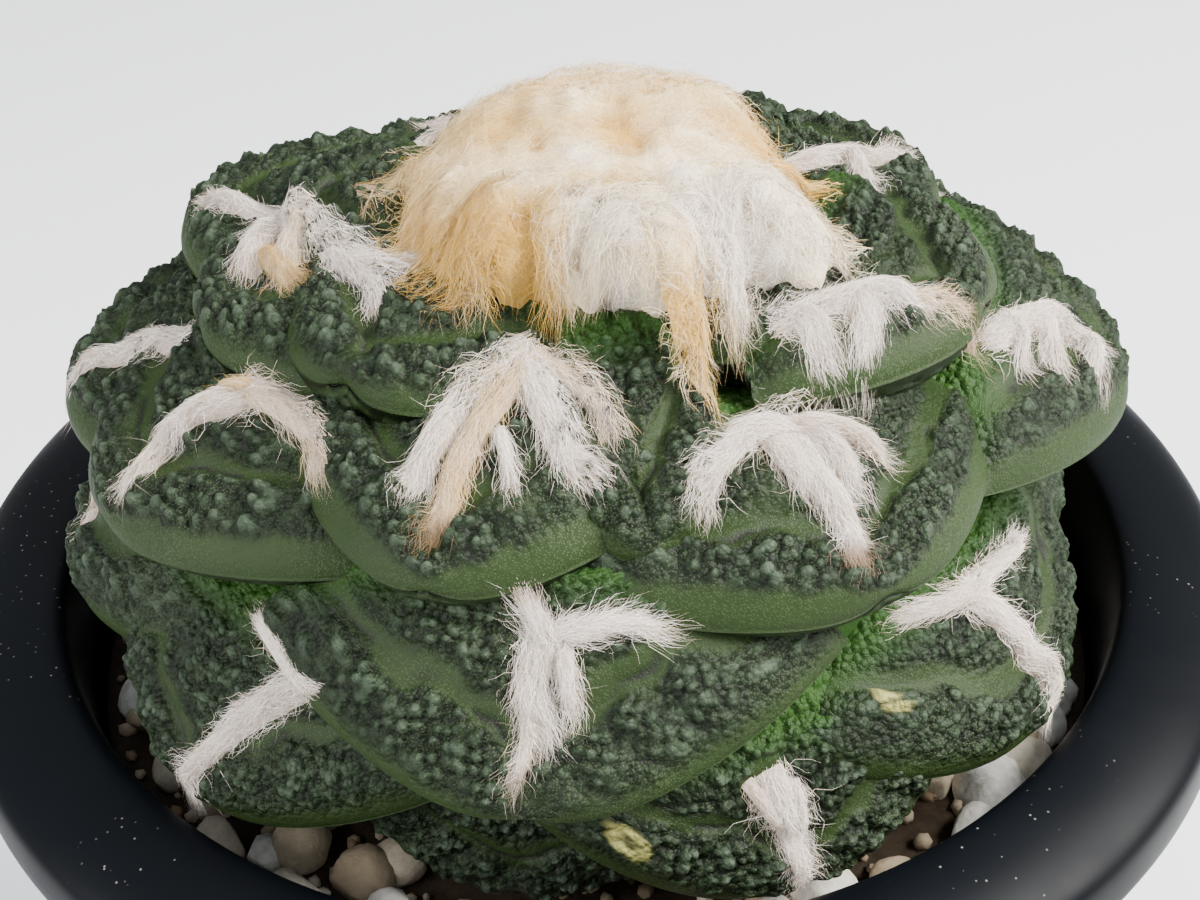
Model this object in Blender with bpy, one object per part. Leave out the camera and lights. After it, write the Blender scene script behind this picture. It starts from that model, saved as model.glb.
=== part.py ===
"""Potted living rock cactus (Ariocarpus fissuratus type, warty form).

Lengths in the code are millimetres, and heights are taken from the plane of the pot's inner lip edge.
The meshes are written in metres, with +Z up and the foot of the pot at z = 0.
Azimuth 0 is the front, -Y, and grows towards +X.
"""

import math
import random

import bmesh
import bpy
from mathutils import Vector
from mathutils.bvhtree import BVHTree

METRE = 0.001
POT_HEIGHT = 112.0
GAP = 0.3
# Clearance of a cutter or a fitted piece: the gap and a little for the facets
CLEAR = GAP + 0.1

# Pot
LIP_OUTER_RADIUS = 67.5
LIP_INNER_RADIUS = 55.4
LIP_EDGE_DROP = 2.6
LIP_SKIRT = 8.5
WALL = 2.2
FOOT_RADIUS = 46.0
FLOOR = 3.5
POT_SIDES = 48
DRAIN_HOLES = 6
DRAIN_RADIUS = 4.0
DRAIN_RING = 31.0
DRAIN_SIDES = 8

# Soil and stones
SOIL_TOP = -14.0
SOIL_SIDES = 36
STONES = 80
STONE_RING_INNER = 36.0
STONE_RING_OUTER = 51.5
STONE_SMALLEST = 2.1
STONE_LARGEST = 4.4
STONE_SEED = 27
STONE_SINK = 0.35
STONE_REACH = 1.15

# Body of the plant: radius and height of the core, from the crown down to the end of the root
CORE = (
    (10.0, 40.0),
    (20.0, 38.0),
    (28.0, 34.5),
    (35.5, 28.0),
    (40.5, 19.0),
    (43.5, 8.0),
    (43.0, -1.0),
    (38.5, -8.0),
    (31.0, -13.0),
    (27.0, -20.0),
    (19.0, -45.0),
    (9.0, -68.0),
)
ROOT_END = -72.0
FUSED_TRIANGLES = 7600
CORE_TOP = 40.5
CORE_SIDES = 32
ROOT_HOLE_FROM = 8

# Tubercles: a golden-angle spiral, with the oldest at the bottom. One row for each stage of age:
# number, tip radius, tip height, slope of the face's normal, length to the tip, half width
FIRST_TUBERCLE = -10
LAST_TUBERCLE = 23
SPIRAL_START = 55.0
GOLDEN_ANGLE = 137.5
STAGES = (
    (-10, 43.0, -9.5, 12.0, 13.0, 21.0),
    (-5, 49.0, -7.5, 24.0, 14.0, 23.0),
    (-2, 52.5, -3.0, 34.0, 18.0, 26.0),
    (0, 53.5, -2.0, 40.0, 17.0, 26.0),
    (3, 54.0, 9.0, 46.0, 19.0, 27.0),
    (6, 53.0, 20.0, 64.0, 18.5, 24.0),
    (9, 51.0, 22.5, 68.0, 17.0, 23.0),
    (11, 47.0, 27.0, 71.0, 20.0, 20.0),
    (13, 43.0, 34.0, 82.0, 16.0, 20.0),
    (16, 41.0, 35.5, 85.0, 18.0, 18.0),
    (18, 38.0, 37.0, 86.0, 15.0, 17.0),
    (23, 27.0, 40.0, 88.0, 10.0, 12.0),
)
# Small differences from the spiral, seen in the photo: azimuth, tip radius, tip height, half width, slope
NUDGES = {
    -2: (-16.0, 0.0, 0.0, 0.0, 0.0),
    -1: (0.0, -1.5, -1.0, -1.0, 0.0),
    0: (0.0, -0.8, -1.0, 0.0, 0.0),
    3: (-9.0, 0.0, 0.0, 0.0, 0.0),
    5: (0.0, 2.0, 1.5, 0.0, 0.0),
    6: (-12.0, -1.0, 1.0, 0.0, 0.0),
    8: (-3.0, -2.0, 1.0, 2.0, 0.0),
    9: (14.0, 2.0, -2.0, 0.0, 0.0),
    13: (-2.0, -1.0, 2.5, 0.0, 0.0),
    14: (-2.0, -3.0, 0.0, 0.0, 0.0),
    16: (-8.0, 1.5, -8.0, -10.0, -22.0),
    17: (16.0, 3.0, -1.0, 0.0, 0.0),
    18: (7.0, 0.0, 0.0, 0.0, 0.0),
}
NO_NUDGE = (0.0, 0.0, 0.0, 0.0, 0.0)
LEAN = 0.13
ROOT_LENGTH = 20.0
FACE_HEIGHT = 3.0
BODY_DEPTH = 13.0
EDGE_BULGE = 3.0
TIP_ROUNDING = 2.2
TIP_ROUNDING_POWER = 4
ACROSS_RADIUS = 44.0
TIP_BEND_RADIUS = 80.0
ROOT_BEND_RADIUS = 13.0
EDGE_POWER = 7
KEEL_POWER = 2.5
KEEL_ROUNDING = 0.7
GRID = (-1.0, -0.6, -0.28, -0.04, 0.16, 0.34, 0.51, 0.67, 0.82, 0.94, 1.0)

# Warts, in millimetres of height above the face
RIB = 1.7
HOLLOW = 0.3
SIDE_FURROW = 1.0
SIDE_FURROW_AT = 0.56
SIDE_FURROW_WIDTH = 0.1
MIDDLE_FURROW = 0.9
MIDDLE_FURROW_WIDTH = 0.16
SMOOTH_EDGE = 0.97
FURROW_SMOOTHING = 0.6
WART_SEED = 5

# Wool in the areoles
FIRST_TUFT = -5
LAST_TUFT = 18
UNDER_CROWN = 16
TUFT_RAYS = 12
TUFT_TOP = 2.3
TUFT_DEPTH = 1.2
TUFT_FOOT = 0.8
TUFT_RINGS = ((0.5, 0.95), (1.0, 0.15))
TUFT_SIZE_LENGTH = 19.0
TUFT_SEED = 11
# Arms of a tuft: angle from the tip's direction towards the right, length, spread in degrees
COMMON_ARMS = ((0.0, 14.0, 22.0), (108.0, 9.5, 26.0), (-108.0, 9.5, 26.0))
SEEN_ARMS = {
    -5: ((6.0, 16.0, 22.0), (-95.0, 5.5, 32.0), (95.0, 4.5, 32.0)),
    -2: ((-32.0, 22.5, 18.0), (-105.0, 7.5, 24.0), (90.0, 6.0, 22.0)),
    0: ((11.0, 18.0, 20.0), (86.0, 11.5, 22.0), (-109.0, 10.0, 22.0)),
    3: ((-8.0, 13.5, 26.0), (98.0, 9.6, 22.0), (-152.0, 5.0, 26.0)),
    5: ((8.0, 9.0, 28.0), (-131.0, 9.5, 26.0), (-75.0, 7.0, 30.0)),
    6: ((-6.0, 14.5, 22.0), (94.0, 13.0, 22.0), (-150.0, 4.0, 30.0)),
    8: ((-8.0, 14.0, 24.0), (52.0, 9.0, 22.0), (-80.0, 12.5, 24.0)),
    9: ((-9.0, 12.5, 22.0), (147.0, 5.5, 30.0)),
    11: ((-10.0, 15.0, 26.0), (60.0, 11.5, 30.0), (-160.0, 4.0, 30.0)),
    13: ((15.0, 12.5, 24.0), (-124.0, 10.5, 26.0), (-60.0, 6.0, 30.0)),
    14: ((10.0, 8.0, 34.0), (104.0, 15.0, 24.0), (-80.0, 4.0, 30.0)),
    17: ((-14.0, 12.0, 22.0), (140.0, 6.0, 30.0)),
    18: ((6.0, 12.5, 22.0), (-63.0, 8.5, 26.0)),
}
# Where a tuft isn't in the middle of its face: how far it is to the right, and towards the tip
TUFT_CENTRES = {
    -5: (-2.0, 1.0),
    -2: (10.5, -2.0),
    0: (-2.5, -0.5),
    3: (1.5, 2.0),
    5: (-5.0, 3.0),
    6: (4.0, -0.5),
    9: (5.0, 3.0),
    11: (2.0, -1.5),
    13: (-6.5, 4.0),
    14: (-4.0, 2.5),
    17: (6.0, 2.0),
    18: (-1.0, 1.0),
}
TUFT_LEAST = 3.0

# Wool on the crown
CROWN_X = 2.0
CROWN_Y = -2.0
CROWN_TOP = 51.2
CROWN_FLOOR = 39.0
CROWN_RADIUS = 21.0
CROWN_FALL = 12.7
CROWN_FLATNESS = 3.0
CROWN_RAYS = 36
# Arms: azimuth in degrees, how far they reach out, spread in degrees
CROWN_ARMS = ((-24.0, 5.0, 14.0), (8.0, 9.5, 16.0), (42.0, 12.0, 14.0))
# Lobes: place from the pot's axis, height, size
CROWN_LOBES = (
    (-9.0, -19.0, 2.6, 5.5),
    (6.0, -22.0, 3.0, 6.0),
    (19.0, -17.0, 2.6, 6.5),
    (-12.0, -4.0, 1.4, 6.0),
    (-4.0, 8.0, 0.4, 7.0),
    (14.0, 5.0, 1.9, 6.0),
)
CROWN_SEED = 3
CROWN_RINGS = (0.2, 0.38, 0.54, 0.69, 0.82, 0.93, 1.0)
CROWN_LOCK = 1.1
CROWN_RIM_DROP = 0.7
# The lowest ring: its share of the outline, the place whose height it takes, and how far below that it is
CROWN_UNDERSIDE = (0.86, 0.93, -4.5)
CROWN_CUTTER_TOP = 9.0

COLOURS = {
    "black_plastic": ((0.012, 0.014, 0.019), 0.42),
    "gravel": ((0.52, 0.45, 0.36), 0.85),
    "cactus_skin": ((0.055, 0.115, 0.035), 0.6),
    "areole_wool": ((0.72, 0.68, 0.6), 0.95),
    "crown_wool": ((0.78, 0.66, 0.45), 0.95),
}


def clear_scene():
    for obj in list(bpy.data.objects):
        bpy.data.objects.remove(obj)


def material(name):
    made = bpy.data.materials.get(name)
    if made:
        return made
    colour, roughness = COLOURS[name]
    made = bpy.data.materials.new(name)
    made.use_nodes = True
    shader = made.node_tree.nodes["Principled BSDF"]
    shader.inputs["Base Color"].default_value = (*colour, 1.0)
    shader.inputs["Roughness"].default_value = roughness
    shader.inputs["Metallic"].default_value = 0.0
    return made


def signed_volume(points, faces):
    total = 0.0
    for face in faces:
        first = Vector(points[face[0]])
        for k in range(1, len(face) - 1):
            second = Vector(points[face[k]])
            third = Vector(points[face[k + 1]])
            total += first.dot(second.cross(third))
    return total


def solid(name, points, faces):
    """An object from points in millimetres over the lip plane, with its faces turned outwards."""
    if signed_volume(points, faces) < 0:
        faces = [tuple(reversed(face)) for face in faces]
    mesh = bpy.data.meshes.new(name)
    placed = [(x * METRE, y * METRE, (z + POT_HEIGHT) * METRE) for x, y, z in points]
    mesh.from_pydata(placed, [], faces)
    mesh.update()
    obj = bpy.data.objects.new(name, mesh)
    bpy.context.scene.collection.objects.link(obj)
    return obj


def lathe(name, profile, sides):
    """A turned solid. The profile starts and ends on the axis."""
    points = [(0.0, 0.0, profile[0][1])]
    for radius, height in profile[1:-1]:
        for k in range(sides):
            turn = 2 * math.pi * k / sides
            points.append((radius * math.sin(turn), -radius * math.cos(turn), height))
    points.append((0.0, 0.0, profile[-1][1]))
    last = len(points) - 1
    rings = len(profile) - 2
    faces = []
    for k in range(sides):
        following = (k + 1) % sides
        faces.append((0, 1 + k, 1 + following))
        base = 1 + (rings - 1) * sides
        faces.append((last, base + following, base + k))
        for ring in range(rings - 1):
            low = 1 + ring * sides
            high = low + sides
            faces.append((low + k, high + k, high + following, low + following))
    return solid(name, points, faces)


def combine(base, others, operation, solver):
    """Applies one Boolean with all the other objects, and removes them."""
    group = bpy.data.collections.new("group")
    for other in others:
        group.objects.link(other)
    modifier = base.modifiers.new("combine", "BOOLEAN")
    modifier.operation = operation
    modifier.operand_type = "COLLECTION"
    modifier.collection = group
    modifier.solver = solver
    apply_modifiers(base)
    for other in others:
        bpy.data.objects.remove(other)
    bpy.data.collections.remove(group)


def apply_modifiers(obj):
    graph = bpy.context.evaluated_depsgraph_get()
    mesh = bpy.data.meshes.new_from_object(obj.evaluated_get(graph))
    obj.modifiers.clear()
    obj.data = mesh


def thin_out(obj, most):
    """Joins the slivers that the union leaves, until this many triangles are left."""
    modifier = obj.modifiers.new("thin", "DECIMATE")
    modifier.ratio = most / len(obj.data.polygons)
    apply_modifiers(obj)


def islands(bm):
    left = set(bm.faces)
    found = []
    while left:
        stack = [left.pop()]
        island = list(stack)
        while stack:
            for edge in stack.pop().edges:
                for face in edge.link_faces:
                    if face in left:
                        left.remove(face)
                        stack.append(face)
                        island.append(face)
        found.append(island)
    return found


def keep_largest(obj):
    """Drops loose scraps and sealed hollows, and splits every face into triangles."""
    bm = bmesh.new()
    bm.from_mesh(obj.data)
    bmesh.ops.triangulate(bm, faces=bm.faces)
    found = sorted(islands(bm), key=len)
    for island in found[:-1]:
        bmesh.ops.delete(bm, geom=island, context="FACES")
    bm.to_mesh(obj.data)
    bm.free()


def finish(obj, name):
    obj.data.materials.clear()
    obj.data.materials.append(material(name))
    for face in obj.data.polygons:
        face.use_smooth = True


# Pot


def pot_wall_radius(height):
    """Outer radius of the wall, which tapers from under the lip to the foot."""
    share = (height + POT_HEIGHT) / POT_HEIGHT
    return FOOT_RADIUS + (LIP_INNER_RADIUS + WALL - FOOT_RADIUS) * share


def make_pot():
    outer = LIP_OUTER_RADIUS
    inner = LIP_INNER_RADIUS
    foot = -POT_HEIGHT
    under = -LIP_SKIRT + 2.0
    floor = foot + FLOOR
    profile = (
        (0.0, foot),
        (FOOT_RADIUS - 1.5, foot),
        (FOOT_RADIUS, foot + 1.5),
        (pot_wall_radius(under), under),
        (outer - 2.0, under + 0.6),
        (outer - 1.6, -LIP_SKIRT),
        (outer, -LIP_SKIRT),
        (outer, -LIP_EDGE_DROP - 1.2),
        (outer - 0.9, -LIP_EDGE_DROP + 0.3),
        (outer - 3.2, -LIP_EDGE_DROP + 1.8),
        (outer - 6.5, 0.2),
        (outer - 9.5, 0.5),
        (inner + 0.8, 0.2),
        (inner, -0.8),
        (pot_wall_radius(-6.0) - WALL, -6.0),
        (pot_wall_radius(floor) - WALL, floor),
        (0.0, floor),
    )
    pot = lathe("pot", profile, POT_SIDES)
    holes = []
    for k in range(DRAIN_HOLES):
        holes.append(drain_hole(k))
    combine(pot, holes, "DIFFERENCE", "EXACT")
    keep_largest(pot)
    finish(pot, "black_plastic")
    return pot


def drain_hole(number):
    turn = 2 * math.pi * number / DRAIN_HOLES
    x = DRAIN_RING * math.sin(turn)
    y = -DRAIN_RING * math.cos(turn)
    points = []
    for height in (-POT_HEIGHT - 2.0, -POT_HEIGHT + FLOOR + 2.0):
        for k in range(DRAIN_SIDES):
            angle = 2 * math.pi * k / DRAIN_SIDES
            dx = DRAIN_RADIUS * math.cos(angle)
            dy = DRAIN_RADIUS * math.sin(angle)
            points.append((x + dx, y + dy, height))
    faces = [tuple(range(DRAIN_SIDES)), tuple(reversed(range(DRAIN_SIDES, 2 * DRAIN_SIDES)))]
    for k in range(DRAIN_SIDES):
        following = (k + 1) % DRAIN_SIDES
        faces.append((following, k, DRAIN_SIDES + k, DRAIN_SIDES + following))
    return solid("drain_hole", points, faces)


# Tubercles


def between(number, column):
    """The value of a column of STAGES at this number, read between its rows."""
    rows = STAGES
    for low, high in zip(rows, rows[1:]):
        if number <= high[0]:
            share = (number - low[0]) / (high[0] - low[0])
            return low[column] + (high[column] - low[column]) * share
    return rows[-1][column]


class Tubercle:
    """The frame of one tubercle. Its face is a kite, with u across and v towards the tip."""

    def __init__(self, number):
        turn, more_radius, more_height, more_width, more_slope = NUDGES.get(number, NO_NUDGE)
        self.number = number
        self.azimuth = math.radians(SPIRAL_START - GOLDEN_ANGLE * number + turn)
        tip_radius = between(number, 1) + more_radius
        tip_height = between(number, 2) + more_height
        slope = math.radians(between(number, 3) + more_slope)
        self.length = between(number, 4)
        self.width = between(number, 5) + more_width
        out = Vector((math.sin(self.azimuth), -math.cos(self.azimuth), 0.0))
        up = Vector((0.0, 0.0, 1.0))
        self.across = Vector((math.cos(self.azimuth), math.sin(self.azimuth), 0.0))
        self.normal = out * math.cos(slope) + up * math.sin(slope)
        self.along = out * math.sin(slope) - up * math.cos(slope)
        lean = LEAN * max(0.0, out.y) * tip_radius
        tip = out * tip_radius + up * (tip_height - lean)
        bend = self.length**2 / (2 * TIP_BEND_RADIUS)
        self.origin = tip - self.along * self.length + self.normal * bend

    def place(self, u, v, height):
        """A point this high over the curved middle surface of the tubercle."""
        bend_radius = TIP_BEND_RADIUS if v > 0 else ROOT_BEND_RADIUS
        drop = u * u / (2 * ACROSS_RADIUS) + v * v / (2 * bend_radius)
        moved = self.across * u + self.along * v + self.normal * (height - drop)
        return self.origin + moved

    def spread(self, a, b):
        """The u and v of grid place a, b. a = 1 and b = 1 are the two edges that meet in the tip."""
        middle = (a + b) / 2
        side = (a - b) / 2
        reach = self.length if middle > 0 else ROOT_LENGTH
        size = math.hypot(self.length, self.width)
        push_a = EDGE_BULGE * (1 - b * b) * max(a, 0.0) ** 3 / size
        push_b = EDGE_BULGE * (1 - a * a) * max(b, 0.0) ** 3 / size
        u = self.width * side + self.length * (push_a - push_b)
        tip = (max(a, 0.0) * max(b, 0.0)) ** TIP_ROUNDING_POWER
        v = reach * middle + self.width * (push_a + push_b) - TIP_ROUNDING * tip
        return u, v

    def face_height(self, a, b):
        """Height of the face without its warts."""
        furrow = side_furrow(a, b)
        groove = math.exp(-(((a - b) / MIDDLE_FURROW_WIDTH) ** 2))
        rounding = edge_rounding(a) * edge_rounding(b)
        return rounding * (FACE_HEIGHT - SIDE_FURROW * furrow - MIDDLE_FURROW * groove)

    def face_point(self, u, v, height):
        """A point this high over the face, for a place given in millimetres."""
        middle = v / (self.length if v > 0 else ROOT_LENGTH)
        side = u / self.width
        a = max(-1.0, min(1.0, middle + side))
        b = max(-1.0, min(1.0, middle - side))
        return self.place(u, v, self.face_height(a, b) + height)


def side_furrow(a, b):
    """How far a place is in the furrow that runs beside the two edges of the tip, from 0 to 1."""
    return math.exp(-(((max(a, b) - SIDE_FURROW_AT) / SIDE_FURROW_WIDTH) ** 2))


def edge_rounding(value):
    return math.sqrt(max(0.0, 1 - abs(value) ** EDGE_POWER))


def wart(i, j, chance):
    """Height of the relief at one grid corner. Every second corner is a wart, in rows that run across."""
    a = GRID[i]
    b = GRID[j]
    if max(a, b) > SMOOTH_EDGE:
        return 0.0
    if (i + j) % 2:
        lift = RIB * chance.uniform(0.55, 1.2)
    else:
        lift = HOLLOW * chance.uniform(-1.0, 1.0)
    return lift * (1 - FURROW_SMOOTHING * side_furrow(a, b))


def wart_faces(corner, count, raised):
    """Two triangles of a grid square. They meet along its low diagonal, so that each raised corner is a wart."""
    across = corner + count
    if raised:
        return [(corner, across, corner + 1), (across, across + 1, corner + 1)]
    return [(corner, across, across + 1), (corner, across + 1, corner + 1)]


def make_tubercle(tubercle):
    chance = random.Random(WART_SEED * 1000 + tubercle.number)
    count = len(GRID)
    points = []
    for i, a in enumerate(GRID):
        for j, b in enumerate(GRID):
            u, v = tubercle.spread(a, b)
            height = tubercle.face_height(a, b) + wart(i, j, chance)
            points.append(tuple(tubercle.place(u, v, height)))
    below = {}
    for i in range(count):
        for j in range(count):
            if i in (0, count - 1) or j in (0, count - 1):
                below[i, j] = i * count + j
                continue
            a = GRID[i]
            b = GRID[j]
            u, v = tubercle.spread(a, b)
            keel = (1 - abs(a) ** KEEL_POWER) * (1 - abs(b) ** KEEL_POWER)
            depth = BODY_DEPTH * keel**KEEL_ROUNDING
            below[i, j] = len(points)
            points.append(tuple(tubercle.place(u, v, -depth)))
    faces = []
    for i in range(count - 1):
        for j in range(count - 1):
            faces.extend(wart_faces(i * count + j, count, (i + j) % 2))
            faces.append((below[i, j], below[i, j + 1], below[i + 1, j]))
            faces.append((below[i + 1, j], below[i, j + 1], below[i + 1, j + 1]))
    return solid("tubercle", points, faces)


def make_core():
    profile = [(0.0, CORE_TOP)]
    profile.extend(CORE)
    profile.append((0.0, ROOT_END))
    return lathe("cactus_body", profile, CORE_SIDES)


# Wool


def tuft_radius(angle, arms):
    """Length of a tuft in one direction, in degrees from the tip's direction."""
    longest = TUFT_LEAST
    for direction, length, spread in arms:
        away = (angle - direction + 180.0) % 360.0 - 180.0
        reach = TUFT_LEAST + (length - TUFT_LEAST) * math.exp(-((away / spread) ** 2))
        longest = max(longest, reach)
    return longest


def make_tuft(name, tubercle, arms):
    """A tuft on a face, highest in the middle and sunk a little into its seat."""
    chance = random.Random(TUFT_SEED * 1000 + tubercle.number)
    rings = [tuft_middle(tubercle, TUFT_TOP)]
    for share, lift in TUFT_RINGS:
        heights = [TUFT_TOP * lift * chance.uniform(0.75, 1.25) for _ in range(TUFT_RAYS)]
        rings.append(tuft_ring(tubercle, arms, share, heights, 0.0))
    rings.append(tuft_ring(tubercle, arms, TUFT_FOOT, [-TUFT_DEPTH] * TUFT_RAYS, 0.0))
    rings.append(tuft_middle(tubercle, -TUFT_DEPTH))
    return layered(name, rings)


def make_seat(tubercle, arms):
    """The cutter for the hollow that a tuft sits in."""
    low = -TUFT_DEPTH - CLEAR
    high = 3 * TUFT_TOP
    rings = [
        tuft_middle(tubercle, high),
        tuft_ring(tubercle, arms, 1.0, [high] * TUFT_RAYS, CLEAR),
        tuft_ring(tubercle, arms, 1.0, [-CLEAR] * TUFT_RAYS, CLEAR),
        tuft_ring(tubercle, arms, TUFT_FOOT, [low] * TUFT_RAYS, CLEAR),
        tuft_middle(tubercle, low),
    ]
    return layered("seat", rings)


def tuft_middle(tubercle, height):
    u, v = TUFT_CENTRES.get(tubercle.number, (0.0, 0.0))
    return [tuple(tubercle.face_point(u, v, height))]


def tuft_ring(tubercle, arms, share, heights, more):
    centre_u, centre_v = TUFT_CENTRES.get(tubercle.number, (0.0, 0.0))
    ring = []
    for k in range(TUFT_RAYS):
        angle = 360.0 * k / TUFT_RAYS
        radius = tuft_radius(angle, arms) * tubercle.length / TUFT_SIZE_LENGTH * share + more
        u = centre_u + radius * math.sin(math.radians(angle))
        v = centre_v + radius * math.cos(math.radians(angle))
        ring.append(tuple(tubercle.face_point(u, v, heights[k])))
    return ring


def layered(name, rings):
    """A solid from a top point, rings of equal count, and a bottom point."""
    points = [point for ring in rings for point in ring]
    count = len(rings[1])
    last = len(points) - 1
    faces = []
    for k in range(count):
        following = (k + 1) % count
        faces.append((0, 1 + k, 1 + following))
        for ring in range(len(rings) - 3):
            low = 1 + ring * count
            high = low + count
            if (k + ring) % 2:
                faces.append((low + k, high + k, high + following))
                faces.append((low + k, high + following, low + following))
            else:
                faces.append((low + k, high + k, low + following))
                faces.append((low + following, high + k, high + following))
        base = 1 + (len(rings) - 3) * count
        faces.append((last, base + following, base + k))
    return solid(name, points, faces)


def crown_outline(angle):
    """Radius of the crown wool in one direction, in degrees of azimuth."""
    radius = CROWN_RADIUS
    for direction, reach, spread in CROWN_ARMS:
        away = (angle - direction + 180.0) % 360.0 - 180.0
        radius += reach * math.exp(-((away / spread) ** 2))
    return radius


def crown_height(x, y, share):
    """Height of the top of the crown wool: a mound with soft lobes."""
    height = CROWN_TOP - CROWN_FALL * share**CROWN_FLATNESS
    for lobe_x, lobe_y, lift, size in CROWN_LOBES:
        away = math.hypot(x - lobe_x, y - lobe_y) / size
        height += lift * math.exp(-(away**2))
    return height


def make_crown(name):
    """The crown wool, roughened by locks that stand up and lie down in turn."""
    chance = random.Random(CROWN_SEED)
    rings = [[(CROWN_X, CROWN_Y, CROWN_TOP)]]
    for index, share in enumerate(CROWN_RINGS):
        ring = []
        for k in range(CROWN_RAYS):
            if (k + index) % 2:
                rough = chance.uniform(0.2, CROWN_LOCK)
            else:
                rough = chance.uniform(-CROWN_RIM_DROP, 0.1)
            ring.append(crown_point(k, share, share, rough, 0.0))
        rings.append(ring)
    share, height_share, lift = CROWN_UNDERSIDE
    rings.append([crown_point(k, share, height_share, lift, 0.0) for k in range(CROWN_RAYS)])
    rings.append([(CROWN_X, CROWN_Y, CROWN_FLOOR)])
    return layered(name, rings)


def make_crown_seat():
    """The cutter for the hollow that the crown wool sits in."""
    share, height_share, lift = CROWN_UNDERSIDE
    levels = (
        (1.0, 0.0, CROWN_CUTTER_TOP),
        (1.0, 1.0, -CROWN_RIM_DROP - CLEAR),
        (share, height_share, lift - CLEAR),
    )
    sides = []
    for share, height_share, lift in levels:
        sides.append([crown_point(k, share, height_share, lift, CLEAR) for k in range(CROWN_RAYS)])
    top = [(CROWN_X, CROWN_Y, CROWN_TOP + CROWN_CUTTER_TOP)]
    bottom = [(CROWN_X, CROWN_Y, CROWN_FLOOR - CLEAR)]
    return layered("seat", [top, *sides, bottom])


def crown_point(ray, share, height_share, lift, more):
    angle = 360.0 * ray / CROWN_RAYS
    radius = crown_outline(angle) * share + more
    x = CROWN_X + radius * math.sin(math.radians(angle))
    y = CROWN_Y - radius * math.cos(math.radians(angle))
    return (x, y, crown_height(x, y, height_share) + lift)


# Soil


def make_soil(body):
    top = SOIL_TOP
    bottom = -POT_HEIGHT + FLOOR + GAP
    hole = [(radius + CLEAR, height) for radius, height in CORE[ROOT_HOLE_FROM:]]
    hole[0] = (hole[0][0], top)
    profile = [
        (0.0, bottom),
        (pot_wall_radius(bottom) - WALL - CLEAR, bottom),
        (pot_wall_radius(top) - WALL - CLEAR, top),
    ]
    profile.extend(hole)
    profile.append((0.0, ROOT_END - GAP))
    soil = lathe("soil", profile, SOIL_SIDES)
    combine(soil, make_stones(body), "UNION", "EXACT")
    keep_largest(soil)
    finish(soil, "gravel")
    return soil


def make_stones(body):
    """Stones on the soil, each placed where it clears the plant and the pot."""
    chance = random.Random(STONE_SEED)
    tree = BVHTree.FromObject(body, bpy.context.evaluated_depsgraph_get())
    stones = []
    for number in range(STONES):
        azimuth = math.radians(GOLDEN_ANGLE * number)
        spread = math.sqrt(chance.random())
        radius = STONE_RING_INNER + (STONE_RING_OUTER - STONE_RING_INNER) * spread
        size = chance.uniform(STONE_SMALLEST, STONE_LARGEST)
        reach = size * STONE_REACH + CLEAR
        radius = min(radius, pot_wall_radius(SOIL_TOP) - WALL - reach)
        height = SOIL_TOP + size * STONE_SINK
        centre = Vector((radius * math.sin(azimuth), -radius * math.cos(azimuth), height))
        near = tree.find_nearest((centre + Vector((0.0, 0.0, POT_HEIGHT))) * METRE)
        if near[3] / METRE > reach:
            stones.append(make_stone(centre, size, chance))
    return stones


def make_stone(centre, size, chance):
    bm = bmesh.new()
    bmesh.ops.create_icosphere(bm, subdivisions=1, radius=1.0)
    turn = chance.uniform(0.0, math.pi)
    stretch = (chance.uniform(0.8, 1.1), chance.uniform(0.75, 1.0), chance.uniform(0.6, 0.85))
    for vertex in bm.verts:
        point = vertex.co * chance.uniform(0.88, 1.02)
        x = point.x * stretch[0]
        y = point.y * stretch[1]
        z = point.z * stretch[2]
        vertex.co.x = x * math.cos(turn) - y * math.sin(turn)
        vertex.co.y = x * math.sin(turn) + y * math.cos(turn)
        vertex.co.z = z
    points = [tuple(centre + vertex.co * size) for vertex in bm.verts]
    faces = [tuple(vertex.index for vertex in face.verts) for face in bm.faces]
    bm.free()
    return solid("stone", points, faces)


# The whole plant


def make_plant():
    tubercles = {}
    for number in range(FIRST_TUBERCLE, LAST_TUBERCLE + 1):
        tubercles[number] = Tubercle(number)
    body = make_core()
    combine(body, [make_tubercle(t) for t in tubercles.values()], "UNION", "MANIFOLD")
    keep_largest(body)
    thin_out(body, FUSED_TRIANGLES)
    seats = [make_crown_seat()]
    crown = make_crown("crown_wool")
    finish(crown, "crown_wool")
    woolly = [n for n in range(FIRST_TUFT, LAST_TUFT + 1) if n != UNDER_CROWN]
    for count, number in enumerate(woolly, 1):
        tubercle = tubercles[number]
        arms = SEEN_ARMS.get(number, COMMON_ARMS)
        tuft = make_tuft(f"areole_wool_{count:02d}", tubercle, arms)
        combine(tuft, [make_crown_seat()], "DIFFERENCE", "MANIFOLD")
        keep_largest(tuft)
        finish(tuft, "areole_wool")
        seats.append(make_seat(tubercle, arms))
    combine(body, seats, "DIFFERENCE", "MANIFOLD")
    keep_largest(body)
    finish(body, "cactus_skin")
    return body


clear_scene()
make_pot()
make_soil(make_plant())
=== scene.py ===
import math
import random
from itertools import product

import bmesh
import bpy
import numpy as np
from mathutils import Matrix, Vector
from mathutils.bvhtree import BVHTree


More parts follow.
